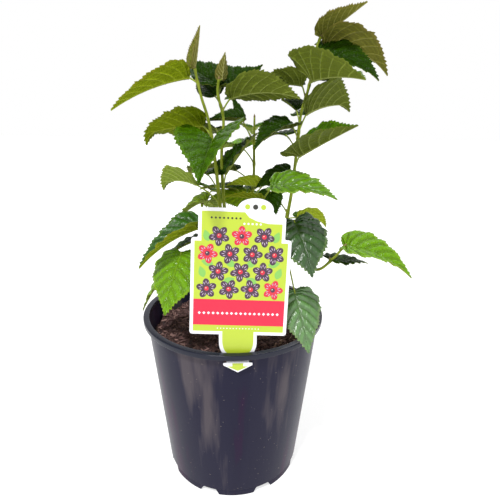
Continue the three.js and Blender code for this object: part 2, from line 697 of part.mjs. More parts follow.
// A closed blade: the rows of points thickened along the surface's normals
function bladeGeometry(rows) {
  const [count, across] = [rows.length, rows[0].length];
  const vertices = [];
  for (const side of [1, -1]) {
    for (let i = 0; i < count; i += 1) {
      for (let j = 0; j < across; j += 1) {
        const along = rows[Math.min(i + 1, count - 1)][j].clone().sub(rows[Math.max(i - 1, 0)][j]);
        const cross = rows[i][Math.min(j + 1, across - 1)].clone().sub(rows[i][Math.max(j - 1, 0)]);
        const normal = cross.cross(along).normalize();
        const p = rows[i][j].clone().addScaledVector(normal, (side * BLADE_THICKNESS) / 2);
        vertices.push([p.x, p.y, p.z]);
      }
    }
  }
  const at = (side, i, j) => side * count * across + i * across + j;
  const faces = [];
  const quad = (a, b, c, d) => faces.push([a, b, c], [a, c, d]);
  for (let i = 0; i + 1 < count; i += 1) {
    for (let j = 0; j + 1 < across; j += 1) {
      quad(at(0, i, j), at(0, i, j + 1), at(0, i + 1, j + 1), at(0, i + 1, j));
      quad(at(1, i, j + 1), at(1, i, j), at(1, i + 1, j), at(1, i + 1, j + 1));
    }
    quad(at(0, i + 1, 0), at(1, i + 1, 0), at(1, i, 0), at(0, i, 0));
    quad(at(0, i, across - 1), at(1, i, across - 1), at(1, i + 1, across - 1), at(0, i + 1, across - 1));
  }
  for (let j = 0; j + 1 < across; j += 1) {
    quad(at(0, 0, j), at(1, 0, j), at(1, 0, j + 1), at(0, 0, j + 1));
    quad(at(0, count - 1, j + 1), at(1, count - 1, j + 1), at(1, count - 1, j), at(0, count - 1, j));
  }
  return geometryOf(vertices, faces);
}

function stalkPoints(node, leaf) {
  const end = node.clone().add(vec(leaf.stalk));
  const middle = node.clone().add(end).multiplyScalar(0.5);
  middle.z += STALK_ARCH * vec(leaf.stalk).length();
  const curve = new THREE.QuadraticBezierCurve3(node, middle, end);
  return curve.getPoints(2);
}

// One leaf: its stalk from the shoot's axis and its blade, with the stalk's end inside the blade
function growLeaf(shoot, leaf) {
  const points = stalkPoints(nodePoint(shoot, leaf.node), leaf);
  const base = points[points.length - 1];
  const rows = bladeRows(base, leaf);
  const tip = bladePoint(base, leaf, 0.035, 1, 0);
  const radii = [1.25, 1.1, 1, 0.6].map((share) => share * STALK_RADIUS);
  const stalk = tube([...points, tip], radii, STALK_SIDES);
  const halfway = rows.slice(1).map((row, i) => row.map((p, j) => p.clone().lerp(rows[i][j], 0.5)));
  return { rows, stalk, samples: [...rows.flat(), ...halfway.flat(), ...points.slice(1)] };
}

function rearLeaf(rule, k) {
  const deal = (n) => fraction(rule.seed + n * 0.37 + k * GOLDEN);
  const heading = between(rule.headings, deal(0));
  const reach = REAR_STALK * Math.cos(rad(REAR_STALK_RISE));
  const length = between(REAR_BLADE, deal(1));
  return {
    node: between([rule.from, rule.to], rule.count > 1 ? k / (rule.count - 1) : 0),
    stalk: [
      reach * Math.cos(rad(heading)),
      reach * Math.sin(rad(heading)),
      REAR_STALK * Math.sin(rad(REAR_STALK_RISE)),
    ],
    blade: [length, heading, rule.rise, between(REAR_DROOP, deal(2))],
    lift: [between(REAR_LIFT, deal(3)), between(REAR_LIFT, deal(4))],
  };
}

function clearOf(samples, taken) {
  return samples.every((p) => taken.every((q) => p.distanceTo(q) > LEAF_SPACE));
}

// All leaves of the plant: first those seen from the front, then those of the rule that fit
function growLeaves(shoots) {
  const grown = {};
  const samples = {};
  for (const name of Object.keys(LIMBS)) {
    grown[name] = LEAVES[name].map((leaf) => growLeaf(shoots[name], leaf));
    samples[name] = grown[name].map((leaf) => leaf.samples).flat();
  }
  const limbPoints = Object.values(LIMBS).map((limb) => limbRun(limb).run).flat();
  for (const [name, rule] of Object.entries(REAR_LEAVES)) {
    for (let k = 0; k < rule.count; k += 1) {
      const leaf = growLeaf(shoots[name], rearLeaf(rule, k));
      const taken = [...Object.values(samples).flat(), ...limbPoints];
      if (clearOf(leaf.samples, taken)) {
        grown[name].push(leaf);
        samples[name].push(...leaf.samples);
      }
    }
  }
  return grown;
}

function makeFoliage() {
  const shoots = {};
  const joints = {};
  for (const [name, limb] of Object.entries(LIMBS)) {
    const { run, begin, joint } = limbRun(limb);
    shoots[name] = run.slice(begin);
    joints[name] = joint;
  }
  const grown = growLeaves(shoots);
  return Object.entries(grown).map(([name, leaves]) => {
    const stem = stretch(shoots[name], BOUGH_END_RADIUS, SHOOT_TIP_RADIUS, joints[name]);
    const blades = leaves.map((leaf) => bladeGeometry(leaf.rows));
    const stalks = leaves.map((leaf) => leaf.stalk);
    const mass = fused([stem, ...stalks, ...blades]);
    return meshOf(`leaves_${name}`, geometryFrom(mass), COLOURS.leaf);
  });
}

const plant = new THREE.Group();
plant.add(makePot(), makeSoil(), makeTag(), makeTrunk());
for (const [name, limb] of Object.entries(LIMBS)) plant.add(makeBough(name, limb));
plant.add(...makeFoliage());

export default plant;
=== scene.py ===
"""The looks of a dwarf mulberry in a round nursery pot, with its plant tag.

Sizes are in millimetres, as in the model's source, and turned into metres where a mesh is made.
+Z is up, and -Y is the front.
"""

import math

import bpy
import numpy as np
from mathutils import Matrix, Vector


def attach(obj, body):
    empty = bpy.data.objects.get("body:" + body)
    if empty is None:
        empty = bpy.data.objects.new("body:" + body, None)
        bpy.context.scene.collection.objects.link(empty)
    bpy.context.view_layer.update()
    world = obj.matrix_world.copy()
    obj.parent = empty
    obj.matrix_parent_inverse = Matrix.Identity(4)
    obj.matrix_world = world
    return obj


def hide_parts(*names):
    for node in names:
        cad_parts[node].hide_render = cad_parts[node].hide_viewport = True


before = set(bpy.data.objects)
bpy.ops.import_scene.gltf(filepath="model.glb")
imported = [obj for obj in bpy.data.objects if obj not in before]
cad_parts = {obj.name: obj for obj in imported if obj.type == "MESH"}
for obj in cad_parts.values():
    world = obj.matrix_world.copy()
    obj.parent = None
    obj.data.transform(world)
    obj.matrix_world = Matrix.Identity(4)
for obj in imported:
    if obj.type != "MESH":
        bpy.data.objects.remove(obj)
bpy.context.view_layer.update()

MM = 0.001

# Camera: where the photograph was taken from
CAMERA_PLACE = (0.0, -429.3, 397.1)
CAMERA_PITCH = 0.3089
CAMERA_YAW = 0.0417
CAMERA_ROLL = 0.0134
CAMERA_FOCUS = 413.3 / 500
CAMERA_SENSOR = 36

# Soft studio light: a sky that is white at the horizon, and broad lamps, each given as
# (name, azimuth from -Y toward +X, elevation, strength, angle across)
HORIZON_LIGHT = 1.0
ZENITH_LIGHT = 0.3
SKY_BLEND = (0.34, 0.64)
SUNS = (("key", -28, 60, 2.6, 8), ("fill", 50, 35, 0.6, 60), ("rim", 165, 50, 0.8, 30))
FLOOR_GLOW = 0.65
FLOOR_REACH = 8000

# Pot
POT_RIM_RADIUS = 100
POT_HEIGHT = 190
POT_COLLAR_HEIGHT = 5
POT_WALL_TOP_RADIUS = 95.3
POT_WALL_BASE_RADIUS = 77.7
POT_MOUTH_RADIUS = 93.6
POT_WALL = 1.9
POT_SIDES = 200
FOOT_HEIGHT = 8.4
FOOT_INSET = 0.9
FOOT_WALL = 1.9
FLOOR_THICKNESS = 2.4
CENTRE_FOOT_RADIUS = 12
NOTCH_COUNT = 8
NOTCH_TURN = 25
NOTCH_FOOT_WIDTH = 23
NOTCH_TOP_WIDTH = 15
NOTCH_HEIGHT = 6.6
DRAIN_WIDTH = 11
DRAIN_LENGTH = 13

# Fine relief of the plastic: scale, detail, depth and strength
PLASTIC_GRAIN = (800, 3, 0.00015, 0.35)

# What is cut out of the pot: how far outside the wall a notch starts and how far in it goes, the
# heights that a drain hole lies between, and the places in y that the tag's slot lies between
NOTCH_CUT = (6, 12)
DRAIN_CUT = (7, 12)
SLOT_CUT = (-100, -88)

# Potting mix
SOIL_TOP = 168
SOIL_ROUGHNESS = 2.2
SOIL_GAP = 0.7
SOIL_EDGE_DROP = 2.5
SOIL_EDGE_DEPTH = 12
SOIL_SEED = 11
SOIL_RINGS = 70
SOIL_SIDES = 220
SOIL_LUMPS = 900
LUMP_SIZES = (1.2, 3.5)
LUMP_HEIGHTS = (-1.3, 1.5)

# Bark shreds on the mix: mean and spread of the logarithm of their length, and the shortest and
# the longest; width as a share of the length, and the widest; thickness as a share of the width;
# bend as a share of the length; how far they lie above the mix; the shares of their size that
# their torn sides vary between; and the share of it that is gone at their ends
SHRED_COUNT = 5200
SHRED_LOG_LENGTH = (1.35, 0.55)
SHRED_LENGTHS = (1.2, 16)
SHRED_WIDTHS = (0.08, 0.4)
SHRED_WIDEST = 2.4
SHRED_THICKNESS = (0.35, 0.8)
SHRED_BEND = 0.12
SHRED_LIFT = (-0.6, 1.6)
SHRED_JAG = (0.7, 1.15)
SHRED_TAPER = 0.5
SHRED_COLOURS = ((89, 66, 65), (116, 87, 83), (146, 114, 108), (56, 43, 44))
SHRED_SHARES = (0.42, 0.34, 0.16, 0.08)

# Plant tag
TAG_X = 4
TAG_THICKNESS = 0.8
TAG_FACE = TAG_THICKNESS / 2
TAG_COLUMNS = 8
TAG_HALF_WIDTH = 44.6
TAG_SHOULDER = 90
TAG_UPPER_HALF_WIDTH = 38.6
TAG_UPPER_TOP = 116.6
TAG_UPPER_TOP_RIGHT = 110.6
TAG_ARCH_TOP = 126
TAG_ARCH_LEFT = -4.5
TAG_ARCH_RIGHT = 27
TAG_TAB_HALF_WIDTH = 17.5
TAG_NECK_HALF_WIDTH = 10.5
TAG_ARROW_HALF_WIDTH = 13.5
TAG_CORNER = 2.5
TAG_BORDER = 3
TAG_LEAN = 0.12
TAG_TURN = 0.036
TAG_BASE_Z = 205.8
TAG_BASE_Y = -88
SLOT_HALF_WIDTH = 13
SLOT_BOTTOM = 180
SLOT_TOP = 184.8

# The arrow and the neck below the card, and the arrow printed on it: height along it, half width
TAG_NECK_TOP = -17.6
TAG_ARROW = (
    (-34.6, 0.4), (-26, TAG_ARROW_HALF_WIDTH), (-23.6, TAG_ARROW_HALF_WIDTH),
    (-23.2, TAG_NECK_HALF_WIDTH), (-19.6, TAG_NECK_HALF_WIDTH), (TAG_NECK_TOP, TAG_NECK_HALF_WIDTH),
)
PRINTED_ARROW = ((-32.8, 0.4), (-27.6, 9.6), (-27.5, 5), (-26, 5), (-23.8, 5))

# Where the card bends below its field: height along it, y and z
TAG_BENDS = [
    (-34.6, -95.9, 171), (-26, -96.5, 179), (-23.2, -96.4, 181.3), (-19.6, -91.6, 183.5),
    (TAG_NECK_TOP, -90.6, 186), (-14, -90.1, 190.2), (0, TAG_BASE_Y, TAG_BASE_Z),
]

# Colours of the card and its print, and their numbers
TAG_COLOURS = (
    ("card_white", (236, 236, 240)), ("card_lime", (178, 198, 48)), ("card_pink", (219, 8, 57)),
    ("print_plum", (66, 40, 62)), ("print_red", (204, 34, 58)), ("print_leaf", (126, 186, 84)),
    ("print_pale", (226, 222, 200)), ("print_lilac", (188, 170, 192)), ("print_dark", (44, 44, 34)),
)
WHITE, LIME, PINK, PLUM, RED, LEAF, PALE, LILAC, DARK = range(9)

# Where the printed field steps in at its upper right, and how it narrows above: height and x
FIELD_STEP = 104
FIELD_CURVE = ((104.05, 23), (106, 13), (109, 6), (TAG_UPPER_TOP - TAG_BORDER, 2))

# Blossoms: length and width of a petal, of a streak on it and of the two dots in the middle; how
# far out a petal lies; each streak's turn from its petal, and how far out it lies; their step
# along a row; and the height of the first row and the step to the next
PETAL = (8.6, 6.2)
PETAL_REACH = 5.1
PETAL_COUNT = 5
STREAK = (2.6, 0.7)
STREAK_PLACES = ((-0.34, 5.4), (0, 6.2), (0.34, 5.4))
HEART = (4.2, 4.2)
HEART_DOT = (1.2, 0.9)
BLOSSOM_STEP = 20
BLOSSOM_ROWS = (43.5, 16.2)

# What is printed: fields from one height to another, leaves as x, height and turn, and rows of
# dots as count, x and height of the first, step, size, sides and colour
TAG_FIELDS = ((33.6, 113.6, LIME), (9, 33.6, PINK), (TAG_BORDER, 9, LIME))
TAG_LEAVES = (
    (-34.5, 59, 1.9), (34.5, 59, 1.2), (-10, 51.6, 0.4), (10, 51.6, 2.7), (-31, 92, 1.9),
    (31, 92, 1.2), (-10, 67.8, 2.6), (10, 67.8, 0.5), (-30, 67.6, 2.9), (30, 67.6, 0.2),
)
TAG_DOTS = (
    (8, -27, 108, 3.6, 1.9, 12, DARK), (5, 1.8, 103.4, 3.6, 1.9, 12, WHITE),
    (18, -36, 20.5, 4.2, 2.8, 4, WHITE), (14, -19, 6, 2.9, 1.1, 8, WHITE),
    (2, 4, 118.4, 14, 4.6, 22, LIME), (1, 11, 118.4, 0, 4.6, 22, DARK),
)

# Stems
CLEARANCE = 0.35
ROOT_CLEARANCE = 0.7
ROOT_REACH = 4.5
ROOT_RISE = 2
TIP_RISE = 9
TRUNK_PATH = [(0, 0, 168.4), (0.6, 0.2, 180), (1.6, 0.6, 197), (3.4, 1, 214)]
TRUNK_RADII = [(0, 9), (0.08, 7), (0.22, 5.8), (1, 4.4)]
TRUNK_STEPS = 60
TRUNK_SIDES = 48
TRUNK_SINK = 3
TRUNK_OVERLAP = 1.5
TRUNK_TIP = (0.85, 0.55)
TRUNK_SEED = 5
STEM_STEP = 13
FINE_STEP = 1.6
STEM_SIDES = 16
BOUGH_FOOT_RADIUS = 2.7
BOUGH_END_RADIUS = 1.9
SHOOT_TIP_RADIUS = 1.1
STALK_RADIUS = 1
STALK_ARCH = 0.12
STALK_SIDES = 9
STALK_END_RADIUS = 0.35
BARK_SEED = 100

# Buds: length and width of those on the boughs, beside a stalk and at a shoot's tip; the length
# of blade above which a leaf has one; and their outline, as shares of half their width
BOUGH_BUD = (3.2, 2.0)
SIDE_BUD = (3.6, 1.9)
TIP_BUD = (4.5, 2.3)
BUD_BLADE = 36
BUD_SHAPE = (0.45, 0.85, 1.0, 0.98, 0.86, 0.66, 0.42, 0.2, 0.03)
BUD_SIDES = 8

# Numbers of the stems' materials
BARK, STALK, BUD = range(3)

UP = np.array([0, 0, 1.0])

# Each limb: the height and the heading (degrees from +X) at which it leaves the trunk, or no
# heading where it goes on from the trunk's tip; the places that its bough runs through; and those
# of its leafy shoot, which goes on from the last of them.
LIMBS = {
    "left": (207, 205, [(-9, -8, 258), (-12, -11, 300)], [
        (-14, -12, 312), (-18, -18, 357), (-24, -22, 396), (-30, -24, 416), (-35, -25, 439),
    ]),
    "middle": (214, None, [(-5, -3, 258), (-9, -5, 300)], [
        (-12, -8, 360), (-10, -10, 397), (-15, -12, 419), (-14, -12, 431),
    ]),
    "right": (198, -5, [(28, -1, 236), (46, -4, 270), (54, -5, 290)], [
        (60, -5, 324), (64, -5, 378), (66, -5, 402), (72, -5, 425), (78, -5, 462), (81, -5, 470),
    ]),
    "back": (203, 75, [(12, 22, 250), (18, 33, 286)], [
        (21, 40, 314), (23, 45, 336), (23, 50, 369), (23, 50, 398),
    ]),
    "front": (192, -70, [(8, -17, 225), (12, -20, 262)], [(20, -26, 296), (26, -30, 318)]),
    "low_left": (188, 215, [(-14, -14, 215), (-20, -22, 240)], [(-27, -33, 262), (-31, -38, 282)]),
    "low_right": (184, -25, [(24, -9, 216), (40, -12, 248), (47, -15, 264)], [
        (66, -27, 264), (84, -40, 252), (99, -45, 266), (108, -47, 279),
    ]),
    "rear_left": (194, 130, [(-15, 17, 225), (-24, 29, 250)], [(-32, 43, 277), (-38, 55, 300)]),
    "rear_right": (188, 52, [(15, 19, 222), (28, 34, 248)], [(40, 48, 282), (46, 57, 316)]),
}

# Leaf blades: shares are of a blade's length, and the rest is in millimetres
BLADE_HALF_WIDTH = 0.375
BLADE_CUP = 20
BLADE_THICKNESS = 0.34
BLADE_STEPS = 12
BLADE_BENDS = 4
SMALL_BLADE = 55

# The source's coarse blade, which the rule for the far side tests its space with
COARSE_STATIONS = [
    (0, -0.01, 0.03), (0.02, -0.06, 0.18), (0.12, 0.19, 0.378),
    (0.33, 0.49, 0.3), (0.6, 0.75, 0.15), (1, 1, 0.008),
]
CURLED_STATIONS = [(0.74, 0.83, 0.1), (0.87, 0.91, 0.05)]
FULL_GAIN = 0.3

# The fine blade of length 1: where a row starts on the midrib, where it meets the margin, half
# width, and how much of a longer lobe it takes part in
FINE_STATIONS = [
    (0, -0.01, 0.012, 0), (0.003, -0.055, 0.095, 0.7), (0.007, -0.06, 0.2, 1), (0.012, 0.01, 0.31, 0.7),
    (0.022, 0.13, 0.372, 0.2), (0.05, 0.26, 0.375, 0), (0.13, 0.39, 0.335, 0), (0.27, 0.54, 0.263, 0),
    (0.44, 0.68, 0.178, 0), (0.62, 0.8, 0.102, 0), (0.82, 0.91, 0.04, 0), (1, 1, 0.003, 0),
]
TEETH = 25
TOOTH_DEPTH = 1.5
TOOTH_RANGE = (0.55, 1.25)
TOOTH_LEAN = 0.7
MARGIN_POWER = 6
ROWS_PER_TOOTH = 3
VEIN_SHARES = (0.13, 0.27, 0.4, 0.52, 0.63, 0.73, 0.82, 0.9)
VEIN_ENDS = (0.0, *VEIN_SHARES, 1.0)
VEIN_MIDDLES = [(low + high) / 2 for low, high in zip(VEIN_ENDS, VEIN_ENDS[1:])]
VEIN_BEND = 0.62
VEIN_HALF_WIDTH = 0.34
VEIN_END_HALF_WIDTH = 0.12
VEIN_DEPTH = 0.4
MIDRIB_DEPTH = 0.75
MIDRIB_GROOVE = 0.35
QUILT_HEIGHT = 0.19
BLISTER_WAVES = 2.3
MARGIN_WAVES = (6.5, 3.1)
YOUNG_PUFF = 0.6
RUNG_DEPTH = 0.45
LADDER = (0.2, 0.36, 0.52, 0.68, 0.84)
LADDER_HALF_WIDTH = 0.008
LADDER_SWAY = 0.04

# Leaves that the front view shows, each: height of its node, or its share of the shoot when under 1;
# reach of its stalk; blade length, heading, rise at its base and how far it droops to the tip, in
# degrees; how far its left and right halves fold up; tones of its upper side and its underside;
# and what is its own: wide, twist, full (how much broader its outer half is), lobe (how much further
# its basal lobes reach back and out), curl (where its tip starts to roll under, and how far), puff
# (how far it stands up between its veins) and rung (how deep its cross veins lie).
LEAVES = {
    "left": [
        (426, (-8, -1, 5), (76, -163, -10, 25), (44, 40), "bright gold",
         {"wide": 0.9, "full": -0.7, "lobe": -0.05}),
        (438, (0, 1, 2), (35, 35, 78, -5), (60, 60), "young young", {"wide": 0.62}),
        (380, (-8, 8, 9), (66, 172, 2, 22), (55, -15), "green moss", {"full": -0.3, "curl": (0.7, 70)}),
        (366, (0, -12, 11), (82, -96, -9, 24), (45, 30), "green olive", {"lobe": 0.12, "wide": 1.05}),
        (314, (-23, -8, 20), (50, 145, 15, 40), (55, 0), "green pale", {"full": 1.5, "curl": (0.7, 60)}),
        (303, (-15, 8, 12), (40, 160, -15, 40), (20, 45), "lit pale"),
    ],
    "middle": [
        (424, (-1, 4, 3), (50, 147, 30, 10), (0, 55), "deep olive"),
        (408, (-6, 14, 9), (36, 130, 35, 10), (0, 55), "deep olive"),
        (416, (2, 12, 10), (52, 25, 4, -44), (60, 10), "deep olive", {"wide": 1.15, "full": 0.4}),
        (402, (8, -10, 12), (68, 6, 20, 38), (10, 40), "green olive", {"twist": -45}),
        (430, (3, 1, 1), (24, -60, 74, 0), (30, 30), "young young", {"wide": 0.75}),
        (326, (3, -9, 18), (60, 45, 45, 10), (10, 50), "deep olive"),
    ],
    "right": [
        (416, (-3, 6, 12), (54, 172, 8, 20), (50, 20), "deep olive"),
        (392, (-2, 10, 13), (32, 115, 25, 10), (40, 50), "deep dark"),
        (384, (8, 8, 17), (63, 30, 26, 34), (10, 66), "green dark",
         {"wide": 1.2, "full": 1.3, "lobe": 0.02, "curl": (0.7, 40)}),
        (428, (0, -12, 2), (71, -63, 8, 20), (20, 62), "green olive", {"wide": 1.18, "lobe": 0.11}),
        (446, (4, -6, 8), (62, -19, 0, 45), (55, -10), "deep olive"),
        (458, (8, 4, 5), (75, 8, 8, 55), (20, 42), "green brown"),
        (468, (1, 0, 2), (49, -7, 36, 0), (50, 60), "young brown", {"wide": 0.85}),
        (378, (-6, -3, 11), (50, -151, 0, 50), (25, 45), "deep dark"),
        (345, (0, -28, 18), (61, -32, 31, 4), (54, 30), "green dark",
         {"wide": 1.1, "full": 1.6, "lobe": 0.08}),
        (296, (12, -4, 2), (39, 18, 15, 70), (20, 60), "green lit"),
        # This leaf and the next lie in shadow: their undersides take the shade tone, painted shade.
        (338, (-3, 12, 6), (40, 172, -12, 30), (-35, 45), "deep shade"),
        (302, (-18, 4, 22), (38, -98, -60, 20), (40, 40), "deep shade"),
    ],
    "back": [
        (366, (-13, -6, 28), (40, -170, 5, 10), (20, 60), "deep olive"),
        (372, (-16, 4, 22), (30, 140, 70, 10), (20, 30), "deep olive", {"wide": 0.75}),
        (318, (8, -15, 7), (38, 178, 12, 20), (62, 40), "green lit", {"wide": 1.1}),
        (304, (-4, -14, 12), (44, 176, 5, 20), (-30, 30), "lit olive"),
        (296, (-16, -8, 26), (50, 150, 5, 20), (20, 20), "green olive"),
        (308, (20, -6, 24), (52, 20, -5, 20), (40, 20), "deep olive"),
    ],
    "front": [
        (308, (12, -28, 30), (60, -17, 8, 32), (40, 5), "glossy pale", {"puff": 1.5, "rung": 0.1}),
        (314, (2, -12, 9), (36, 180, 15, 20), (40, 10), "bright gold"),
    ],
    "low_left": [
        (276, (-2, -6, 20), (70, -160, -12, 35), (42, 42), "satin gold", {"full": -1, "puff": 1.4}),
        (262, (-23, -18, 12), (62, -112, -45, 20), (5, -5), "bright pale", {"wide": 1.1, "full": 0.7}),
        (250, (-38, 4, 2), (62, -172, -45, 20), (20, 10), "bright pale"),
        (268, (-8, 6, 12), (46, 172, -22, 20), (20, 20), "deep olive"),
    ],
    "low_right": [
        (0.15, (1, -27, 39), (60, -71, -32, 30), (10, -6), "sheen pale",
         {"wide": 1.08, "full": 0.8, "lobe": 0.06, "puff": 1.9}),
        (0.98, (3, 4, -1), (72, -18, 2, 45), (35, 15), "bright pale", {"puff": 1.3}),
        (0.8, (0, 6, 0), (46, 13, 0, 20), (10, 10), "deep olive"),
        (0.1, (7, -34, -31), (62, -75, -42, 15), (5, 0), "mist pale", {"puff": 1.5}),
    ],
    "rear_left": [],
    "rear_right": [],
}

# The far side of each shoot: the stretch that its leaves grow on, the range of their headings, how
# they rise, and the seed of their deal
REAR_LEAVES = {
    "left": ((0.2, 0.7), (95, 135), 10, 0.69),
    "middle": ((0.35, 0.9), (75, 135), 0, 0.94),
    "right": ((0.2, 0.8), (50, 120), 10, 0.3),
    "back": ((0.1, 0.8), (80, 170), 10, 0.25),
    "rear_left": ((0.15, 0.95), (25, 85), -10, 0.72),
    "rear_right": ((0.1, 0.8), (65, 105), 10, 0.17),
}
REAR_COUNT = 4
REAR_FACES = (("green", "olive"), ("deep", "olive"), ("bright", "pale"), ("green", "pale"))
GOLDEN = 0.618034
REAR_STALK = 26
REAR_STALK_RISE = 35
REAR_BLADE = (44, 62)
REAR_DROOP = (25, 45)
REAR_LIFT = (12, 38)
LEAF_SPACE = 6.5

# Body, veins and rim of a leaf's upper side, how rough it is and how much it shines. The lit tone is
# painted light, a brighter copy for leaves that lie in shade. The bright tone is partly the leaf's own
# yellow-green and partly painted light, the glow of light through the leaf.
TOP_TONES = {
    "deep": ((30, 54, 2), (48, 74, 14), (42, 68, 6), 0.28, 0.05),
    "green": ((54, 88, 2), (70, 102, 10), (72, 108, 8), 0.26, 0.1),
    "bright": ((90, 132, 2), (108, 146, 16), (116, 154, 18), 0.26, 0.2),
    "glossy": ((80, 120, 14), (96, 134, 24), (108, 144, 30), 0.22, 0.65),
    "lit": ((122, 152, 24), (138, 168, 42), (142, 174, 46), 0.3, 0.12),
    "sheen": ((30, 64, 10), (46, 76, 20), (66, 96, 28), 0.34, 0.7),
    "mist": ((68, 108, 48), (70, 104, 42), (88, 120, 56), 0.36, 1.0),
    "satin": ((40, 80, 10), (58, 94, 24), (70, 104, 28), 0.36, 0.35),
    "young": ((104, 108, 34), (146, 146, 70), (114, 108, 40), 0.45, 0.15),
}

# Body, veins and rim of its underside. These colours are partly painted light, the glow of light through
# the leaf. The lit tone is painted light, a brighter copy for leaves that lie in shade, and the shade
# tone is painted shade, a darker copy for leaves in shadow.
UNDER_TONES = {
    "olive": ((100, 112, 36), (142, 152, 78), (106, 118, 40)),
    "dark": ((84, 95, 28), (134, 142, 74), (92, 104, 32)),
    "shade": ((52, 70, 22), (84, 100, 44), (58, 76, 26)),
    "gold": ((120, 136, 14), (160, 170, 58), (132, 138, 26)),
    "moss": ((104, 120, 4), (142, 154, 44), (112, 124, 20)),
    "pale": ((126, 146, 52), (172, 186, 100), (136, 154, 58)),
    "lit": ((160, 178, 40), (186, 200, 84), (166, 182, 50)),
    "brown": ((108, 108, 40), (154, 150, 84), (116, 110, 46)),
    "young": ((114, 112, 50), (176, 174, 108), (128, 120, 56)),
}
# The lit_crest and shaded_groove parts are painted highlight and painted shade on the quilted blade,
# with some random spread. On the upper side they are lighter on the highest blister tops and darker low
# by the side veins. On the underside they are lighter on the ridges by the side veins (painted
# highlight) and along the cross veins (their own paler colour).
PARTS = ("body", "lit_crest", "shaded_groove", "vein", "rim")
LIT_CREST_GAIN = {"top": 1.14, "under": 1.22}
SHADED_GROOVE_GAIN = 0.89
UNDER_FINISH = (0.65, 0.08)
LEAF_RELIEF = 0.0005
SMOOTH_RELIEF = 0.00015
SMOOTH_TONES = ("glossy", "sheen", "mist", "satin")


# Small helpers

def rad(degrees):
    return math.radians(degrees)


def between(pair, share):
    return pair[0] + (pair[1] - pair[0]) * share


def interpolate(rows, value):
    """The other columns of rows, at the place where the first column reaches value."""
    columns = np.asarray(rows, float).T
    return [float(np.interp(value, columns[0], column)) for column in columns[1:]]


def drawn_curve(a, middle, b, t):
    """A point of the curve from a to b that is drawn toward middle."""
    return (1 - t) ** 2 * a + 2 * t * (1 - t) * middle + t ** 2 * b


def unit(vectors):
    """Vectors scaled to a length of 1."""
    return vectors / np.maximum(np.linalg.norm(vectors, axis=-1, keepdims=True), 1e-12)


def toward(degrees):
    """The level way toward a heading, as x and y."""
    return np.array([math.cos(rad(degrees)), math.sin(rad(degrees))])


def round_turns(sides):
    return math.tau * np.arange(sides) / sides


def rectangle(x, half, low, high):
    return [(x - half, low), (x + half, low), (x + half, high), (x - half, high)]


def srgb(colour):
    """A colour given as 0 to 255 in sRGB, as the linear colour that shaders take."""
    shares = [value / 255 for value in colour]
    return (*[c / 12.92 if c <= 0.04045 else ((c + 0.055) / 1.055) ** 2.4 for c in shares], 1)


def ring_faces(rings, sides, start=0):
    """Faces between rings of points, which follow on each other from number start."""
    faces = []
    for low in range(start, start + (rings - 1) * sides, sides):
        for i in range(sides):
            j = (i + 1) % sides
            faces.append((low + i, low + j, low + sides + j, low + sides + i))
    return faces


def capped_faces(rings, sides):
    """Faces of a closed turned mesh, whose points 0 and 1 lie on the axis at its two ends."""
    faces = ring_faces(rings, sides, 2)
    last = 2 + (rings - 1) * sides
    for i in range(sides):
        j = (i + 1) % sides
        faces += [(0, 2 + j, 2 + i), (1, last + i, last + j)]
    return faces


def flipped(faces):
    return [(face[0], *reversed(face[1:])) for face in faces]


def new_object(name, data):
    thing = bpy.data.objects.new(name, data)
    bpy.context.scene.collection.objects.link(thing)
    return thing


def mesh_object(name, points, faces, materials, picks=None, smooth=True):
    """A mesh from points in millimetres. picks gives each face the number of its material."""
    mesh = bpy.data.meshes.new(name)
    mesh.from_pydata((np.asarray(points, float) * MM).tolist(), [], faces)
    for material in materials:
        mesh.materials.append(material)
    if picks is not None:
        mesh.polygons.foreach_set("material_index", np.asarray(picks, np.int32))
    mesh.polygons.foreach_set("use_smooth", np.full(len(mesh.polygons), smooth))
    mesh.update()
    return new_object(name, mesh)


def hand_in(piece, slot, *nodes):
    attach(piece, "root")
    if nodes:
        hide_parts(*nodes)


class Pile:
    """Points, faces and material numbers of many small meshes, joined into one."""

    def __init__(self):
        self.points = []
        self.faces = []
        self.picks = []
        self.count = 0

    def add(self, points, faces, picks):
        """Adds a mesh. picks is one material's number for all of it, or one for each face."""
        self.points.append(np.asarray(points, float))
        self.faces += [tuple(int(i) + self.count for i in face) for face in faces]
        self.picks += [picks] * len(faces) if isinstance(picks, int) else picks
        self.count += len(points)

    def build(self, name, materials, smooth=True):
        used = sorted(set(self.picks))
        place = {number: i for i, number in enumerate(used)}
        picks = [place[number] for number in self.picks]
        kept = [materials[number] for number in used]
        return mesh_object(name, np.concatenate(self.points), self.faces, kept, picks, smooth)


# Materials

def set_inputs(owner, node, inputs):
    """Gives a node's inputs values, or wires them to what other nodes put out, by name."""
    for name, value in inputs.items():
        if isinstance(value, bpy.types.NodeSocket):
            owner.node_tree.links.new(value, node.inputs[name])
        else:
            node.inputs[name].default_value = value


def add_node(owner, kind, inputs, **settings):
    """A node of a material or of the sky."""
    node = owner.node_tree.nodes.new(kind)
    for name, value in settings.items():
        setattr(node, name, value)
    set_inputs(owner, node, inputs)
    return node


def shade(material, inputs):
    set_inputs(material, material.node_tree.nodes["Principled BSDF"], inputs)


def new_material(name, colour, roughness, specular=0.5, coat=0.0):
    material = bpy.data.materials.new(name)
    material.use_nodes = True
    shade(material, {
        "Base Color": srgb(colour), "Roughness": roughness, "Specular IOR Level": specular,
        "Coat Weight": coat, "Coat Roughness": 0.25,
    })
    return material


def object_places(material, stretch=(1, 1, 1), turn=0):
    place = add_node(material, "ShaderNodeTexCoord", {}).outputs["Object"]
    inputs = {"Vector": place, "Scale": stretch, "Rotation": (0, 0, rad(turn))}
    return add_node(material, "ShaderNodeMapping", inputs).outputs["Vector"]


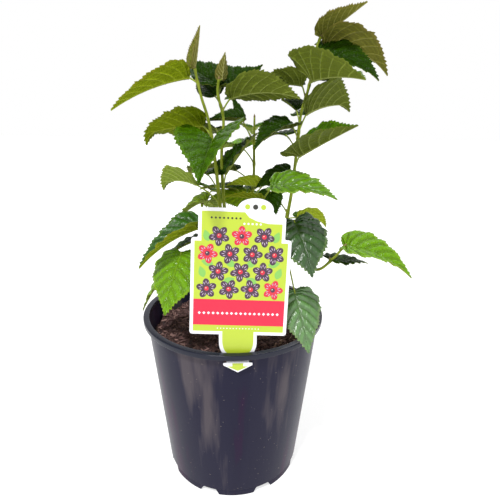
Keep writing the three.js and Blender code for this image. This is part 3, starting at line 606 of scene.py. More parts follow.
def noise(material, vector, scale, detail=3.0, rough=0.55):
    inputs = {"Vector": vector, "Scale": scale, "Detail": detail, "Roughness": rough}
    return add_node(material, "ShaderNodeTexNoise", inputs).outputs["Fac"]


def spread(owner, value, *ends):
    """A value whose range from one low and high is carried over to another low and high."""
    inputs = dict(zip(("From Min", "From Max", "To Min", "To Max"), ends))
    return add_node(owner, "ShaderNodeMapRange", {"Value": value, **inputs}).outputs["Result"]


def bump(material, height, distance, strength=1.0, before=None):
    inputs = {"Height": height, "Distance": distance, "Strength": strength}
    if before is not None:
        inputs["Normal"] = before
    return add_node(material, "ShaderNodeBump", inputs).outputs["Normal"]


def grain(material, scale, detail, distance, strength, rough=0.55):
    """Gives a material a fine, even relief."""
    fine = noise(material, object_places(material), scale, detail, rough)
    shade(material, {"Normal": bump(material, fine, distance, strength)})
    return material


def colour_ramp(material, value, stops):
    ramp = add_node(material, "ShaderNodeValToRGB", {"Fac": value})
    elements = ramp.color_ramp.elements
    while len(elements) < len(stops):
        elements.new(0.5)
    for element, (place, colour) in zip(elements, stops):
        element.position = place
        element.color = srgb(colour)
    return ramp.outputs["Color"]


def leaf_skin(name, colour, roughness, specular, relief):
    """A leaf's surface: one plain colour, with a fine net of veins in its relief."""
    material = new_material(name, colour, roughness, specular)
    vector = object_places(material)
    inputs = {"Vector": vector, "Scale": 380}
    cells = add_node(material, "ShaderNodeTexVoronoi", inputs, feature="DISTANCE_TO_EDGE")
    net = spread(material, cells.outputs["Distance"], 0.0, 0.28, 0.0, 1.0)
    veins = bump(material, net, relief, 0.7)
    patches = noise(material, vector, 110, 3)
    shade(material, {
        "Normal": bump(material, noise(material, vector, 1500, 4), relief * 0.4, 0.5, veins),
        "Roughness": spread(material, patches, 0.35, 0.65, roughness - 0.08, roughness + 0.1),
    })
    return material


def leaf_palette():
    """Every leaf material, and the number of each in the palette."""
    materials = []
    number = {}
    for side, tones in (("top", TOP_TONES), ("under", UNDER_TONES)):
        for tone, (body, vein, rim, *finish) in tones.items():
            # Lighter and darker copies of the body: painted highlight and painted shade.
            lit_crest = [value * LIT_CREST_GAIN[side] for value in body]
            shaded_groove = [value * SHADED_GROOVE_GAIN for value in body]
            finish = finish or UNDER_FINISH
            relief = SMOOTH_RELIEF if tone in SMOOTH_TONES else LEAF_RELIEF
            for part, colour in zip(PARTS, (body, lit_crest, shaded_groove, vein, rim)):
                number[side, tone, part] = len(materials)
                materials.append(leaf_skin(f"leaf_{side}_{tone}_{part}", colour, *finish, relief))
    return materials, number


# Curves, by the source's rule

def curve_point(places, t, kind):
    """A point of a Catmull-Rom curve through places, t from 0 to 1, even or centripetal."""
    count = len(places)
    place = (count - 1) * t
    k = min(count - 2, int(math.floor(place)))
    weight = place - k
    p1 = places[k]
    p2 = places[k + 1]
    p0 = places[k - 1] if k > 0 else 2 * places[0] - places[1]
    p3 = places[k + 2] if k + 2 < count else 2 * places[-1] - places[-2]
    if kind == "even":
        t0 = 0.5 * (p2 - p0)
        t1 = 0.5 * (p3 - p1)
    else:
        d0, d1, d2 = [float(((b - a) ** 2).sum()) ** 0.25 for a, b in ((p0, p1), (p1, p2), (p2, p3))]
        d1 = d1 if d1 > 1e-4 else 1.0
        d0 = d0 if d0 > 1e-4 else d1
        d2 = d2 if d2 > 1e-4 else d1
        t0 = ((p1 - p0) / d0 - (p2 - p0) / (d0 + d1) + (p2 - p1) / d1) * d1
        t1 = ((p2 - p1) / d1 - (p3 - p1) / (d1 + d2) + (p3 - p2) / d2) * d1
    c2 = -3 * p1 + 3 * p2 - 2 * t0 - t1
    c3 = 2 * p1 - 2 * p2 + t0 + t1
    return p1 + t0 * weight + c2 * weight ** 2 + c3 * weight ** 3


def trunk_point(share):
    return curve_point(np.array(TRUNK_PATH, float), share, "even")


def limb_places(limb):
    """The places that a limb runs through, and the number of the one where its leaves begin."""
    height, heading, bough, shoot = limb
    foot = TRUNK_PATH[0][2]
    x, y, top = TRUNK_PATH[-1]
    if heading is None:
        root = [(x, y, top + CLEARANCE), (x, y, top + TIP_RISE)]
    else:
        share = (height - foot) / (top - foot)
        out = toward(heading)
        start = trunk_point(share)[:2] + out * (interpolate(TRUNK_RADII, share)[0] + ROOT_CLEARANCE)
        root = [(*start, height), (*(start + out * ROOT_REACH), height + ROOT_RISE)]
    places = np.array(root + bough + shoot, float)
    return places, len(places) - len(shoot) - 1


def limb_run(limb, step):
    """Points close together along a limb, and the number of the point where its leaves begin."""
    places, leafy = limb_places(limb)
    run = []
    begin = 0
    for k in range(len(places) - 1):
        if k == leafy:
            begin = len(run)
        distance = float(np.linalg.norm(places[k + 1] - places[k]))
        steps = max(1, int(math.floor(distance / step + 0.5)))
        for i in range(steps):
            run.append(curve_point(places, (k + i / steps) / (len(places) - 1), "centripetal"))
    run.append(places[-1])
    return np.array(run), begin


def node_point(shoot, where):
    """The point of a shoot at a height, or at a share of its way where that is 1 or less."""
    if where <= 1:
        place = where * (len(shoot) - 1)
        k = min(len(shoot) - 2, int(place))
        share = place - k
    else:
        k = 0
        while k + 2 < len(shoot) and where > shoot[k + 1][2]:
            k += 1
        share = min(1, max(0, (where - shoot[k][2]) / (shoot[k + 1][2] - shoot[k][2])))
    return shoot[k] + (shoot[k + 1] - shoot[k]) * share


def blade_slope(leaf, x):
    knee, roll = leaf.get("curl", (0.5, 0))
    share = np.clip(x, 0, 1)
    rolled = roll * np.maximum(0, share - knee) / (1 - knee)
    return np.radians(leaf["blade"][2] - leaf["blade"][3] * share - rolled)


def fullness(leaf, e):
    swell = np.sin(np.pi * np.clip((e - 0.1) / 0.9, 0, 1))
    return leaf.get("wide", 1) * (1 + FULL_GAIN * leaf.get("full", 0) * swell)


def blade_points(base, leaf, x, half, w):
    """Points of a blade: x along it, on the left (-1) or right (1) half, w out from the midrib."""
    x, half, w = np.broadcast_arrays(x, half, w)
    length, heading = leaf["blade"][:2]
    ahead = toward(heading)
    parts = (np.arange(BLADE_STEPS) + 0.5) / BLADE_STEPS
    slopes = blade_slope(leaf, x[..., None] * parts)
    step = (length * x / BLADE_STEPS)[..., None]
    flat = step * np.cos(slopes).sum(-1, keepdims=True)
    rise = step * np.sin(slopes).sum(-1, keepdims=True)
    point = base + np.concatenate([flat * ahead, rise], -1)
    slope = blade_slope(leaf, x)[..., None]
    side = half[..., None] * np.array([ahead[1], -ahead[0], 0])
    up = np.concatenate([-np.sin(slope) * ahead, np.cos(slope)], -1)
    lift = np.where(half < 0, leaf["lift"][0], leaf["lift"][1]) - leaf.get("twist", 0) * x * half
    for i in range(BLADE_BENDS):
        bend = np.radians(lift - BLADE_CUP * (i + 0.5) * w / (BLADE_BENDS * BLADE_HALF_WIDTH))[..., None]
        reach = (w * length / BLADE_BENDS)[..., None]
        point = point + side * reach * np.cos(bend) + up * reach * np.sin(bend)
    return point


def stalk_curve(node, leaf, count):
    end = node + np.array(leaf["stalk"], float)
    middle = (node + end) / 2
    middle[2] += STALK_ARCH * float(np.linalg.norm(leaf["stalk"]))
    return drawn_curve(node, middle, end, np.linspace(0, 1, count)[:, None])


def coarse_samples(shoot, leaf):
    """Points of the source's coarse leaf and its stalk."""
    stalk = stalk_curve(node_point(shoot, leaf["node"]), leaf, 3)
    stations = list(COARSE_STATIONS)
    lobe = leaf.get("lobe", 0)
    stations[1] = (stations[1][0], stations[1][1] - lobe, stations[1][2] + lobe)
    if "curl" in leaf:
        stations[5:5] = CURLED_STATIONS
    half, out = np.array([(-1, 1), (-1, 0.5), (1, 0), (1, 0.5), (1, 1)]).T
    rows = np.array([
        blade_points(stalk[-1], leaf, m + (e - m) * out, half, w * out * fullness(leaf, e))
        for m, e, w in stations
    ])
    halfway = (rows[1:] + rows[:-1]) / 2
    return np.concatenate([rows.reshape(-1, 3), halfway.reshape(-1, 3), stalk[1:]])


def rear_leaf(stretch, headings, rise, seed, k):
    """The leaf number k of a shoot's far side."""
    def deal(n, pair):
        return between(pair, (seed + n * 0.37 + k * GOLDEN) % 1)

    heading = deal(0, headings)
    reach, climb = REAR_STALK * toward(REAR_STALK_RISE)
    return {
        "node": between(stretch, k / (REAR_COUNT - 1)),
        "stalk": (*(reach * toward(heading)), climb),
        "blade": (deal(1, REAR_BLADE), heading, rise, deal(2, REAR_DROOP)),
        "lift": (deal(3, REAR_LIFT), deal(4, REAR_LIFT)),
        "faces": REAR_FACES[k % len(REAR_FACES)],
    }


def front_leaf(node, stalk, blade, lift, faces, own=None):
    leaf = {"node": node, "stalk": stalk, "blade": blade, "lift": lift, "faces": faces.split()}
    return {**leaf, **(own or {})}


def all_leaves(shoots):
    """The leaves of each shoot. One of the far side that finds too little space is left out."""
    grown = {name: [front_leaf(*row) for row in LEAVES[name]] for name in LIMBS}
    taken = [coarse_samples(shoots[name], leaf) for name in LIMBS for leaf in grown[name]]
    taken = np.concatenate(taken + [limb_run(limb, STEM_STEP)[0] for limb in LIMBS.values()])
    for name, rule in REAR_LEAVES.items():
        for k in range(REAR_COUNT):
            leaf = rear_leaf(*rule, k)
            samples = coarse_samples(shoots[name], leaf)
            if np.linalg.norm(samples[:, None] - taken[None], axis=2).min() > LEAF_SPACE:
                grown[name].append(leaf)
                taken = np.concatenate([taken, samples])
    return grown


# Leaves

def fine_table(leaf):
    """Rows along a half blade's edge: share of it, midrib start, margin place and half width."""
    stations = np.array(FINE_STATIONS, float)
    lobe = leaf.get("lobe", 0) * stations[:, 3]
    stations[:, 1] -= lobe
    stations[:, 2] += lobe
    dense = np.array([curve_point(stations[:, :3], t, "even") for t in np.linspace(0, 1, 400)])
    edge = np.hypot(np.diff(dense[:, 1]), np.diff(dense[:, 2]))
    share = np.concatenate([[0], np.cumsum(edge)])
    return np.column_stack([share / share[-1], dense])


def blade_rows(table, length):
    """Rows of a half blade, each (start on midrib, share of the edge, place in a side vein).

    The place is 1, 2 or 3 for a vein's near side, its middle and its far side, and otherwise 0.
    """
    count = TEETH * ROWS_PER_TOOTH
    rows = []
    for s in [i / count for i in range(count + 1)]:
        if min(abs(s - v) for v in VEIN_SHARES) > 0.005:
            rows.append((interpolate(table, s)[0], s, 0))
    for v in VEIN_SHARES:
        m = interpolate(table, v)[0]
        inner = VEIN_HALF_WIDTH / length * min(1, 0.35 + m * 4)
        outer = VEIN_END_HALF_WIDTH / length
        rows += [(max(0.0005, m - inner), v - outer, 1), (m, v, 2), (m + inner, v + outer, 3)]
    return sorted(rows, key=lambda row: row[1])


def quilt(s):
    """How far the blade stands up between two side veins, from 0 to 1, and how far apart they are."""
    for low, high in zip(VEIN_ENDS, VEIN_ENDS[1:]):
        if s <= high:
            t = (s - low) / (high - low)
            return math.sin(math.pi * min(1, max(0, t))) ** 0.8, high - low
    return 0.0, 0.1


def tooth(s, depths):
    """Reach of the saw-toothed margin, which points to the tip."""
    t = (s * TEETH) % 1
    fade = min(1, s / 0.05, (1 - s) / 0.04)
    depth = depths[min(len(depths) - 1, int(s * TEETH + 1e-6))]
    return (t / 0.67 if t < 0.68 else (1 - t) / 0.33) * max(0, fade) * depth


def blade_columns():
    """Columns of a half blade from midrib to margin, and 1 for each that edges a cross vein."""
    places = [(0, 0), (0.026, 0)]
    for v in LADDER:
        places += [(v - 0.08, 0), (v - LADDER_HALF_WIDTH, 1), (v + LADDER_HALF_WIDTH, 1)]
    places += [(LADDER[-1] + 0.08, 0), (1, 0)]
    return np.array(places, float).T


def half_blade(base, leaf, half, table, rows, bends, ruffle, rng):
    """Points of half a blade, which way they face, and how far the upper side stands up there."""
    length = leaf["blade"][0]
    small = min(1, length / SMALL_BLADE)
    puff = leaf.get("puff", YOUNG_PUFF if "young" in leaf["faces"] else 1.0)
    flat, rungs = blade_columns()
    depths = rng.uniform(*TOOTH_RANGE, TEETH)
    phase = rng.uniform(0, math.tau, 3)
    x = np.zeros((len(rows), len(flat)))
    w = np.zeros_like(x)
    height = np.zeros_like(x)
    for i, (m, s, _) in enumerate(rows):
        e, reach = interpolate(table, s)[1:]
        near_base = min(1, s / 0.1)
        # The cross veins sway, and the side veins bend to the tip as they near the margin.
        bend = float(np.interp(s, VEIN_MIDDLES, bends))
        columns = flat + bend * np.sin(math.pi * flat) * near_base
        teeth = TOOTH_DEPTH * small * tooth(s, depths) / length
        line = (1 - VEIN_BEND) * columns + VEIN_BEND * columns ** 2
        x[i] = m + (e - m) * line + TOOTH_LEAN * teeth * columns ** MARGIN_POWER
        w[i] = reach * fullness(leaf, e) * columns + teeth * columns ** MARGIN_POWER
        # The blade stands up between its veins, lower where it is slim and at its cross veins.
        rise, gap = quilt(s)
        slim = min(1, reach / 0.2)
        body = np.clip(columns / 0.16, 0, 1) * (1 - 0.4 * columns ** 3)
        blister = 1 + 0.2 * np.sin(math.tau * BLISTER_WAVES * columns + phase[2] + 9 * s)
        blister = blister - leaf.get("rung", RUNG_DEPTH) * rungs
        height[i] = QUILT_HEIGHT * slim * puff * gap * length * rise * body * blister
        # Its margin waves up and down.
        first, second = [math.tau * waves * s for waves in MARGIN_WAVES]
        wave = np.sin(first + phase[0]) + 0.5 * np.sin(second + phase[1])
        margin = np.clip((columns - 0.5) / 0.5, 0, 1) ** 2
        height[i] += slim * ruffle * small * wave * margin * near_base
    height[:, 0] = -MIDRIB_GROOVE * small
    height[:, 1] = -0.1 * small
    point = blade_points(base, leaf, x, half, w)
    along = blade_points(base, leaf, x + 1e-3, half, w) - point
    across = blade_points(base, leaf, x, half, w + 1e-3) - point
    return point, unit(half * np.cross(across, along)), height


def add_blade(pile, number, base, leaf):
    """A leaf's blade: a closed mesh with an upper side, an underside and a rim."""
    rng = np.random.default_rng(leaf["seed"])
    table = fine_table(leaf)
    rows = blade_rows(table, leaf["blade"][0])
    flat, rungs = blade_columns()
    sway = rng.uniform(-LADDER_SWAY, LADDER_SWAY, (2, len(VEIN_SHARES) + 1))
    ruffle = rng.uniform(0.5, 1.0)
    left = half_blade(base, leaf, -1, table, rows, sway[0], ruffle, rng)
    right = half_blade(base, leaf, 1, table, rows, sway[1], ruffle, rng)
    middle = unit(left[1][:, 0] + right[1][:, 0])
    left[1][:, 0] = middle
    right[1][:, 0] = middle
    point, normal, height = [np.concatenate([a[:, :0:-1], b], 1) for a, b in zip(left, right)]
    upper = point + normal * height[..., None]
    thick = np.full(height.shape, BLADE_THICKNESS)
    fade = np.concatenate([flat[:0:-1], flat])
    for i, row in enumerate(rows):
        if row[2] == 2:
            thick[i] += VEIN_DEPTH * (1 - 0.7 * fade)
    thick[:, len(flat) - 1] += MIDRIB_DEPTH * np.linspace(1, 0.25, len(rows))
    lower = upper - normal * thick[..., None]
    faces, parts = blade_faces(rows, rungs, rng)
    tones = dict(zip(("top", "under"), leaf["faces"]))
    picks = [number[side, tones[side], part] for side, part in parts]
    pile.add(np.concatenate([upper.reshape(-1, 3), lower.reshape(-1, 3)]), faces, picks)


def blade_faces(rows, rungs, rng):
    """Faces of a blade's two sides and rim, each with the part of the leaf that colours it."""
    centre = len(rungs) - 1
    across = 2 * len(rungs) - 1
    last = (len(rows) - 1) * across
    shift = last + across
    shown = rng.uniform(0, 1, (len(VEIN_SHARES) + 1, across)) < 0.8
    spray = rng.normal(0, 0.16, (len(rows), across))
    faces = []
    parts = []
    edges = []
    for i in range(len(rows) - 1):
        in_vein = rows[i][2] in (1, 2) and rows[i + 1][2] in (2, 3)
        middle = (rows[i][1] + rows[i + 1][1]) / 2
        rise = quilt(middle)[0]
        bay = sum(middle > v for v in VEIN_SHARES)
        start = i * across
        for j in range(across - 1):
            a = start + j
            quad = (a, a + 1, a + across + 1, a + across)
            c = abs(j + 0.5 - centre)
            k = int(c)
            level = rise + spray[i, j] * (1 - 0.75 * middle)
            # Painted light and shade by the quilting: lit_crest on the upper side's blister tops, and on
            # the underside by the side veins and on the cross veins; shaded_groove low by the upper
            # side's veins.
            top = "lit_crest" if level > 0.8 and c > 2 else "shaded_groove" if level < 0.42 else "body"
            rung = rungs[k] == 1 and rungs[k + 1] == 1 and shown[bay, j]
            under = "lit_crest" if level < 0.3 or rung else "body"
            if c > centre - 1:
                top = under = "rim"
            if (in_vein and c < centre - 1) or c < 1:
                top = under = "vein"
            faces += [quad, tuple(p + shift for p in reversed(quad))]
            parts += [("top", top), ("under", under)]
        edges += [(start + across, start), (start + across - 1, start + 2 * across - 1)]
    for j in range(across - 1):
        edges += [(j, j + 1), (last + j + 1, last + j)]
    faces += [(a, a + shift, b + shift, b) for a, b in edges]
    return faces, parts + [("under", "rim")] * len(edges)


# Stems

def sweep(points, radii, sides):
    """A closed tube along points. radii is one number for each point, or one for each side of it."""
    points = np.asarray(points, float)
    radii = np.asarray(radii, float)
    if radii.ndim == 1:
        radii = np.repeat(radii[:, None], sides, 1)
    along = unit(np.gradient(points, axis=0))
    side = np.array([1.0, 0, 0]) if abs(along[0][0]) < 0.9 else np.array([0, 1.0, 0])
    turns = round_turns(sides)[:, None]
    rings = []
    for point, way, reach in zip(points, along, radii):
        side = unit(side - way * float(side @ way))
        other = np.cross(way, side)
        rings.append(point + reach[:, None] * (np.cos(turns) * side + np.sin(turns) * other))
    faces = ring_faces(len(points), sides)
    faces.append(tuple(reversed(range(sides))))
    faces.append(tuple(range((len(points) - 1) * sides, len(points) * sides)))
    return np.concatenate(rings), faces


def stem_radii(points, begin_radius, end_radius, nodes, rng, swell=0.45):
    """Taper, with a swelling at each node and a faint waviness."""
    count = len(points)
    radii = np.linspace(begin_radius, end_radius, count)
    for node in nodes:
        distance = np.linalg.norm(points - node, axis=1)
        radii = radii + swell * np.exp(-(distance / 2.2) ** 2)
    rough = np.convolve(rng.normal(0, 0.12, count + 8), np.ones(9) / 9, "valid")
    return radii + rough[:count]


def add_bud(pile, root, way, length, width):
    """A small pointed bud."""
    points = root + unit(way) * np.linspace(0, length, len(BUD_SHAPE))[:, None]
    pile.add(*sweep(points, np.array(BUD_SHAPE) * width / 2, BUD_SIDES), BUD)


def add_stalk(pile, node, leaf, tip):
    """A leaf's stalk, thicker at its foot and where the blade begins."""
    points = np.concatenate([stalk_curve(node, leaf, 12), tip[None]])
    share = np.linspace(0, 1, len(points))
    radii = 0.78 + 0.5 * np.exp(-(share / 0.09) ** 2) + 0.22 * np.exp(-((share - 0.93) / 0.06) ** 2)
    radii = radii * (0.75 + 0.25 * min(1, leaf["blade"][0] / 60)) * STALK_RADIUS
    radii[-1] = STALK_END_RADIUS
    pile.add(*sweep(points, radii, STALK_SIDES), STALK)


def bough_mesh(points, rng):
    """A bough's bark, with a bud at each of its old nodes."""
    pile = Pile()
    nodes = points[18::26]
    radii = stem_radii(points, BOUGH_FOOT_RADIUS, BOUGH_END_RADIUS, nodes, rng, 0.3)
    radii[:4] += np.array([0.9, 0.6, 0.3, 0.1])
    pile.add(*sweep(points, radii, STEM_SIDES), BARK)
    for node in nodes:
        way = np.array([rng.normal(), rng.normal(), 1.2])
        add_bud(pile, node + 0.6 * way, way, *BOUGH_BUD)
    return pile


def shoot_meshes(points, leaves, number, rng):
    """A shoot's bark with its buds and stalks, and the blades of its leaves."""
    twigs = Pile()
    blades = Pile()
    nodes = [leaf["root"] for leaf in leaves]
    radii = stem_radii(points, BOUGH_END_RADIUS, SHOOT_TIP_RADIUS, nodes, rng)
    twigs.add(*sweep(points, radii, STEM_SIDES), BARK)
    for node, leaf in zip(nodes, leaves):
        stalk = np.array(leaf["stalk"], float)
        away = unit(stalk)
        add_stalk(twigs, node, leaf, blade_points(node + stalk, leaf, 0.05, 1, 0))
        if leaf["blade"][0] > BUD_BLADE:
            add_bud(twigs, node + 1.4 * away + 0.8 * UP, away + 1.4 * UP, *SIDE_BUD)
        add_blade(blades, number, node + stalk, leaf)
    add_bud(twigs, points[-1] - 0.6 * UP, points[-1] - points[-3], *TIP_BUD)
    return twigs, blades


def make_plant():
    """The boughs, and the shoots that go on from them with all their leaves."""
    coarse = {}
    for name, limb in LIMBS.items():
        run, begin = limb_run(limb, STEM_STEP)
        coarse[name] = run[begin:]
    grown = all_leaves(coarse)
    seed = 0
    for name, leaves in grown.items():
        for leaf in leaves:
            seed += 1
            leaf["seed"] = seed
            leaf["root"] = node_point(coarse[name], leaf["node"])
    leaf_materials, number = leaf_palette()
    stem_materials = stem_palette()
    for place, (name, limb) in enumerate(LIMBS.items()):
        rng = np.random.default_rng(BARK_SEED + place)
        run, begin = limb_run(limb, FINE_STEP)
        bough = bough_mesh(run[:begin + 1], rng)
        hand_in(bough.build(f"stem_{name}", stem_materials), "green_stem", f"bough_{name}")
        twigs, blades = shoot_meshes(run[begin:], grown[name], number, rng)
        hand_in(twigs.build(f"twigs_{name}", stem_materials), "green_stem")
        hand_in(blades.build(f"foliage_{name}", leaf_materials), "foliage", f"leaves_{name}")


def stem_palette():
    green = new_material("green_bark", (124, 138, 40), 0.5, 0.12)
    patches = noise(green, object_places(green, (1, 1, 0.35)), 160, 4)
    pores = spread(green, noise(green, object_places(green), 900, 2), 0.55, 0.72, 0.0, 1.0)
    stops = [(0.3, (104, 118, 26)), (0.5, (128, 142, 40)), (0.72, (146, 156, 60))]
    shade(green, {
        "Base Color": colour_ramp(green, patches, stops), "Normal": bump(green, pores, 0.0004, 0.5),
    })
    stalk = grain(new_material("leaf_stalk", (146, 162, 56), 0.42, 0.15), 1200, 3, 0.0002, 0.4)
    bud = grain(new_material("bud_scales", (122, 104, 60), 0.5, 0.4), 1500, 3, 0.0003, 0.6)
    return [green, stalk, bud]


# Trunk

def make_trunk():
    shares = np.linspace(0, 1, TRUNK_STEPS)
    points = np.array([trunk_point(share) for share in shares])
    points[:, 2] += np.linspace(-TRUNK_SINK, TRUNK_OVERLAP, TRUNK_STEPS)
    rng = np.random.default_rng(TRUNK_SEED)
    turns = round_turns(TRUNK_SIDES)
    radii = np.zeros((TRUNK_STEPS, TRUNK_SIDES))
    ridge = rng.uniform(0, math.tau, 4)
    for k, share in enumerate(shares):
        foot = math.exp(-share / 0.12)
        lobes = 0.16 * foot * np.cos(3 * turns + ridge[0]) + 0.1 * foot * np.cos(5 * turns + ridge[1])
        cracks = 0.035 * np.sin(11 * turns + 5 * math.sin(7 * share) + ridge[2])
        rings = 0.03 * np.sin(50 * share + 2 * np.sin(turns + ridge[3]))
        radii[k] = interpolate(TRUNK_RADII, share)[0] * (1 + lobes + cracks + rings)
    radii += rng.normal(0, 0.07, radii.shape)
    radii[-2:] *= np.array(TRUNK_TIP)[:, None]
    bark = new_material("brown_bark", (112, 90, 62), 0.85, 0.25)
    streaks = noise(bark, object_places(bark, (1, 1, 0.3)), 260, 6, 0.65)
    stops = [(0.3, (70, 54, 38)), (0.5, (116, 94, 64)), (0.7, (150, 128, 92))]
    shade(bark, {
        "Base Color": colour_ramp(bark, streaks, stops), "Normal": bump(bark, streaks, 0.0015, 0.9),
    })
    hand_in(mesh_object("trunk_bark", *sweep(points, radii, TRUNK_SIDES), [bark]), "bark", "trunk")


# Pot

def wall_inner(z):
    """Inner radius of the pot's wall at a height."""
    share = (z - FOOT_HEIGHT) / (POT_HEIGHT - POT_COLLAR_HEIGHT - FOOT_HEIGHT)
    return POT_WALL_BASE_RADIUS - POT_WALL + (POT_WALL_TOP_RADIUS - POT_WALL_BASE_RADIUS) * share


def pot_profile():
    """Outline of the pot from the axis below to the axis inside, with its corners rounded."""
    foot_outer = POT_WALL_BASE_RADIUS - FOOT_INSET
    foot_inner = foot_outer - FOOT_WALL
    collar = POT_HEIGHT - POT_COLLAR_HEIGHT
    floor_top = FOOT_HEIGHT + FLOOR_THICKNESS
    corners = [
        (CENTRE_FOOT_RADIUS, 0, 0.4), (CENTRE_FOOT_RADIUS, FOOT_HEIGHT, 0.3),
        (foot_inner, FOOT_HEIGHT, 0.5), (foot_inner, 0, 0.4), (foot_outer, 0, 0.5),
        (foot_outer, FOOT_HEIGHT - FOOT_INSET, 0.2), (POT_WALL_BASE_RADIUS, FOOT_HEIGHT, 0.35),
        (POT_WALL_TOP_RADIUS, collar, 0.5), (POT_RIM_RADIUS, collar, 0.55),
        (POT_RIM_RADIUS, POT_HEIGHT, 0.9), (POT_MOUTH_RADIUS, POT_HEIGHT, 0.7),
        (POT_WALL_TOP_RADIUS - POT_WALL, collar, 0.3), (wall_inner(floor_top), floor_top, 1.0),
    ]
    places = [Vector((0, 0)), *[Vector(corner[:2]) for corner in corners], Vector((0, floor_top))]
    points = [(0, 0)]
    for before, here, after, corner in zip(places, places[1:], places[2:], corners):
        a = here + (before - here).normalized() * corner[2]
        b = here + (after - here).normalized() * corner[2]
        points += [tuple(drawn_curve(a, here, b, i / 4)) for i in range(5)]
    return points + [(0, floor_top)]


def lathe(profile, sides):
    """A closed turned mesh. The profile starts and ends on the axis."""
    inner = profile[1:-1]
    verts = [(0, 0, profile[0][1]), (0, 0, profile[-1][1])]
    verts += [(r * math.cos(a), r * math.sin(a), z) for r, z in inner for a in round_turns(sides)]
    return verts, capped_faces(len(inner), sides)


def prism(outline, y_low, y_high, turn):
    """A closed prism: outline in x and z, from y_low to y_high, turned about the axis."""
    spin = Matrix.Rotation(rad(turn), 3, "Z")
    verts = [tuple(spin @ Vector((x, y, z))) for y in (y_low, y_high) for x, z in outline]
    n = len(outline)
    return verts, [tuple(range(n)), tuple(reversed(range(n, 2 * n))), *flipped(ring_faces(2, n))]


def pot_cuts():
    """What is cut out of the pot: notches, drain holes and the slot for the tag."""
    foot = NOTCH_FOOT_WIDTH / 2
    top = NOTCH_TOP_WIDTH / 2
    right = [(foot, -1), (top + 0.5, NOTCH_HEIGHT - 1), (top - 0.8, NOTCH_HEIGHT)]
    notch = right + [(-x, z) for x, z in reversed(right)]
    drain = rectangle(0, DRAIN_WIDTH / 2, *DRAIN_CUT)
    slot = rectangle(TAG_X, SLOT_HALF_WIDTH, SLOT_BOTTOM, SLOT_TOP)
    low = -POT_WALL_BASE_RADIUS - NOTCH_CUT[0]
    reach = POT_WALL_BASE_RADIUS - FOOT_INSET - FOOT_WALL - 2
    cuts = Pile()
    for k in range(NOTCH_COUNT):
        turn = NOTCH_TURN + 360 * k / NOTCH_COUNT
        cuts.add(*prism(notch, low, low + NOTCH_CUT[1], turn), 0)
        cuts.add(*prism(drain, -reach, -reach + DRAIN_LENGTH, turn), 0)
    cuts.add(*prism(slot, *SLOT_CUT, 0), 0)
    return cuts


def make_pot():
    plastic = pot_plastic()
    pot = mesh_object("nursery_pot", *lathe(pot_profile(), POT_SIDES), [plastic, rim_plastic()])
    cutter = pot_cuts().build("pot_cuts", [plastic], False)
    modifier = pot.modifiers.new("cuts", "BOOLEAN")
    modifier.operation = "DIFFERENCE"
    modifier.solver = "EXACT"
    modifier.object = cutter
    graph = bpy.context.evaluated_depsgraph_get()
    mesh = bpy.data.meshes.new_from_object(pot.evaluated_get(graph))
    pot.modifiers.clear()
    pot.data = mesh
    bpy.data.objects.remove(cutter)
    mesh.polygons.foreach_set("use_smooth", np.full(len(mesh.polygons), True))
    mesh.set_sharp_from_angle(angle=rad(32))
    for face in mesh.polygons:
        face.material_index = int(face.center.z > (POT_HEIGHT - POT_COLLAR_HEIGHT - 0.3) * MM)
    hand_in(pot, "pot_plastic", "pot")


def pot_plastic():
    """Near-black plastic, with painted reflections in pale and purplish streaks that run down it, and a
    few specks of dust.
    """
    material = new_material("black_plastic", (37, 36, 53), 0.3, 0.05)
    # Painted reflection: pale brownish-grey and purplish streaks that run down the wall.
    streaks = noise(material, object_places(material, (1, 1, 0.1), 38), 30, 4, 0.55)
    stops = [(0.36, (46, 27, 53)), (0.45, (37, 36, 53)), (0.57, (39, 38, 55)), (0.68, (78, 72, 78))]
    dust = spread(material, noise(material, object_places(material), 420, 1), 0.74, 0.8, 0.0, 1.0)
    inputs = {"A": colour_ramp(material, streaks, stops), "B": srgb((112, 104, 100)), "Factor": dust}
    mix = add_node(material, "ShaderNodeMix", inputs, data_type="RGBA")
    shade(material, {"Base Color": mix.outputs["Result"]})
    return grain(material, *PLASTIC_GRAIN)


def rim_plastic():
    return grain(new_material("black_plastic_rim", (24, 27, 42), 0.24, 0.2, 0.2), *PLASTIC_GRAIN)


# Potting mix

def soil_height(x, y):
    waves = np.sin(x * 0.11 + 1.3) * np.cos(y * 0.09 - 0.4) + 0.6 * np.sin(y * 0.17 + x * 0.05)
    near = np.clip((np.hypot(x, y) - 16) / 20, 0, 1)
    return SOIL_TOP - 0.4 + SOIL_ROUGHNESS * waves * near - 2 * near


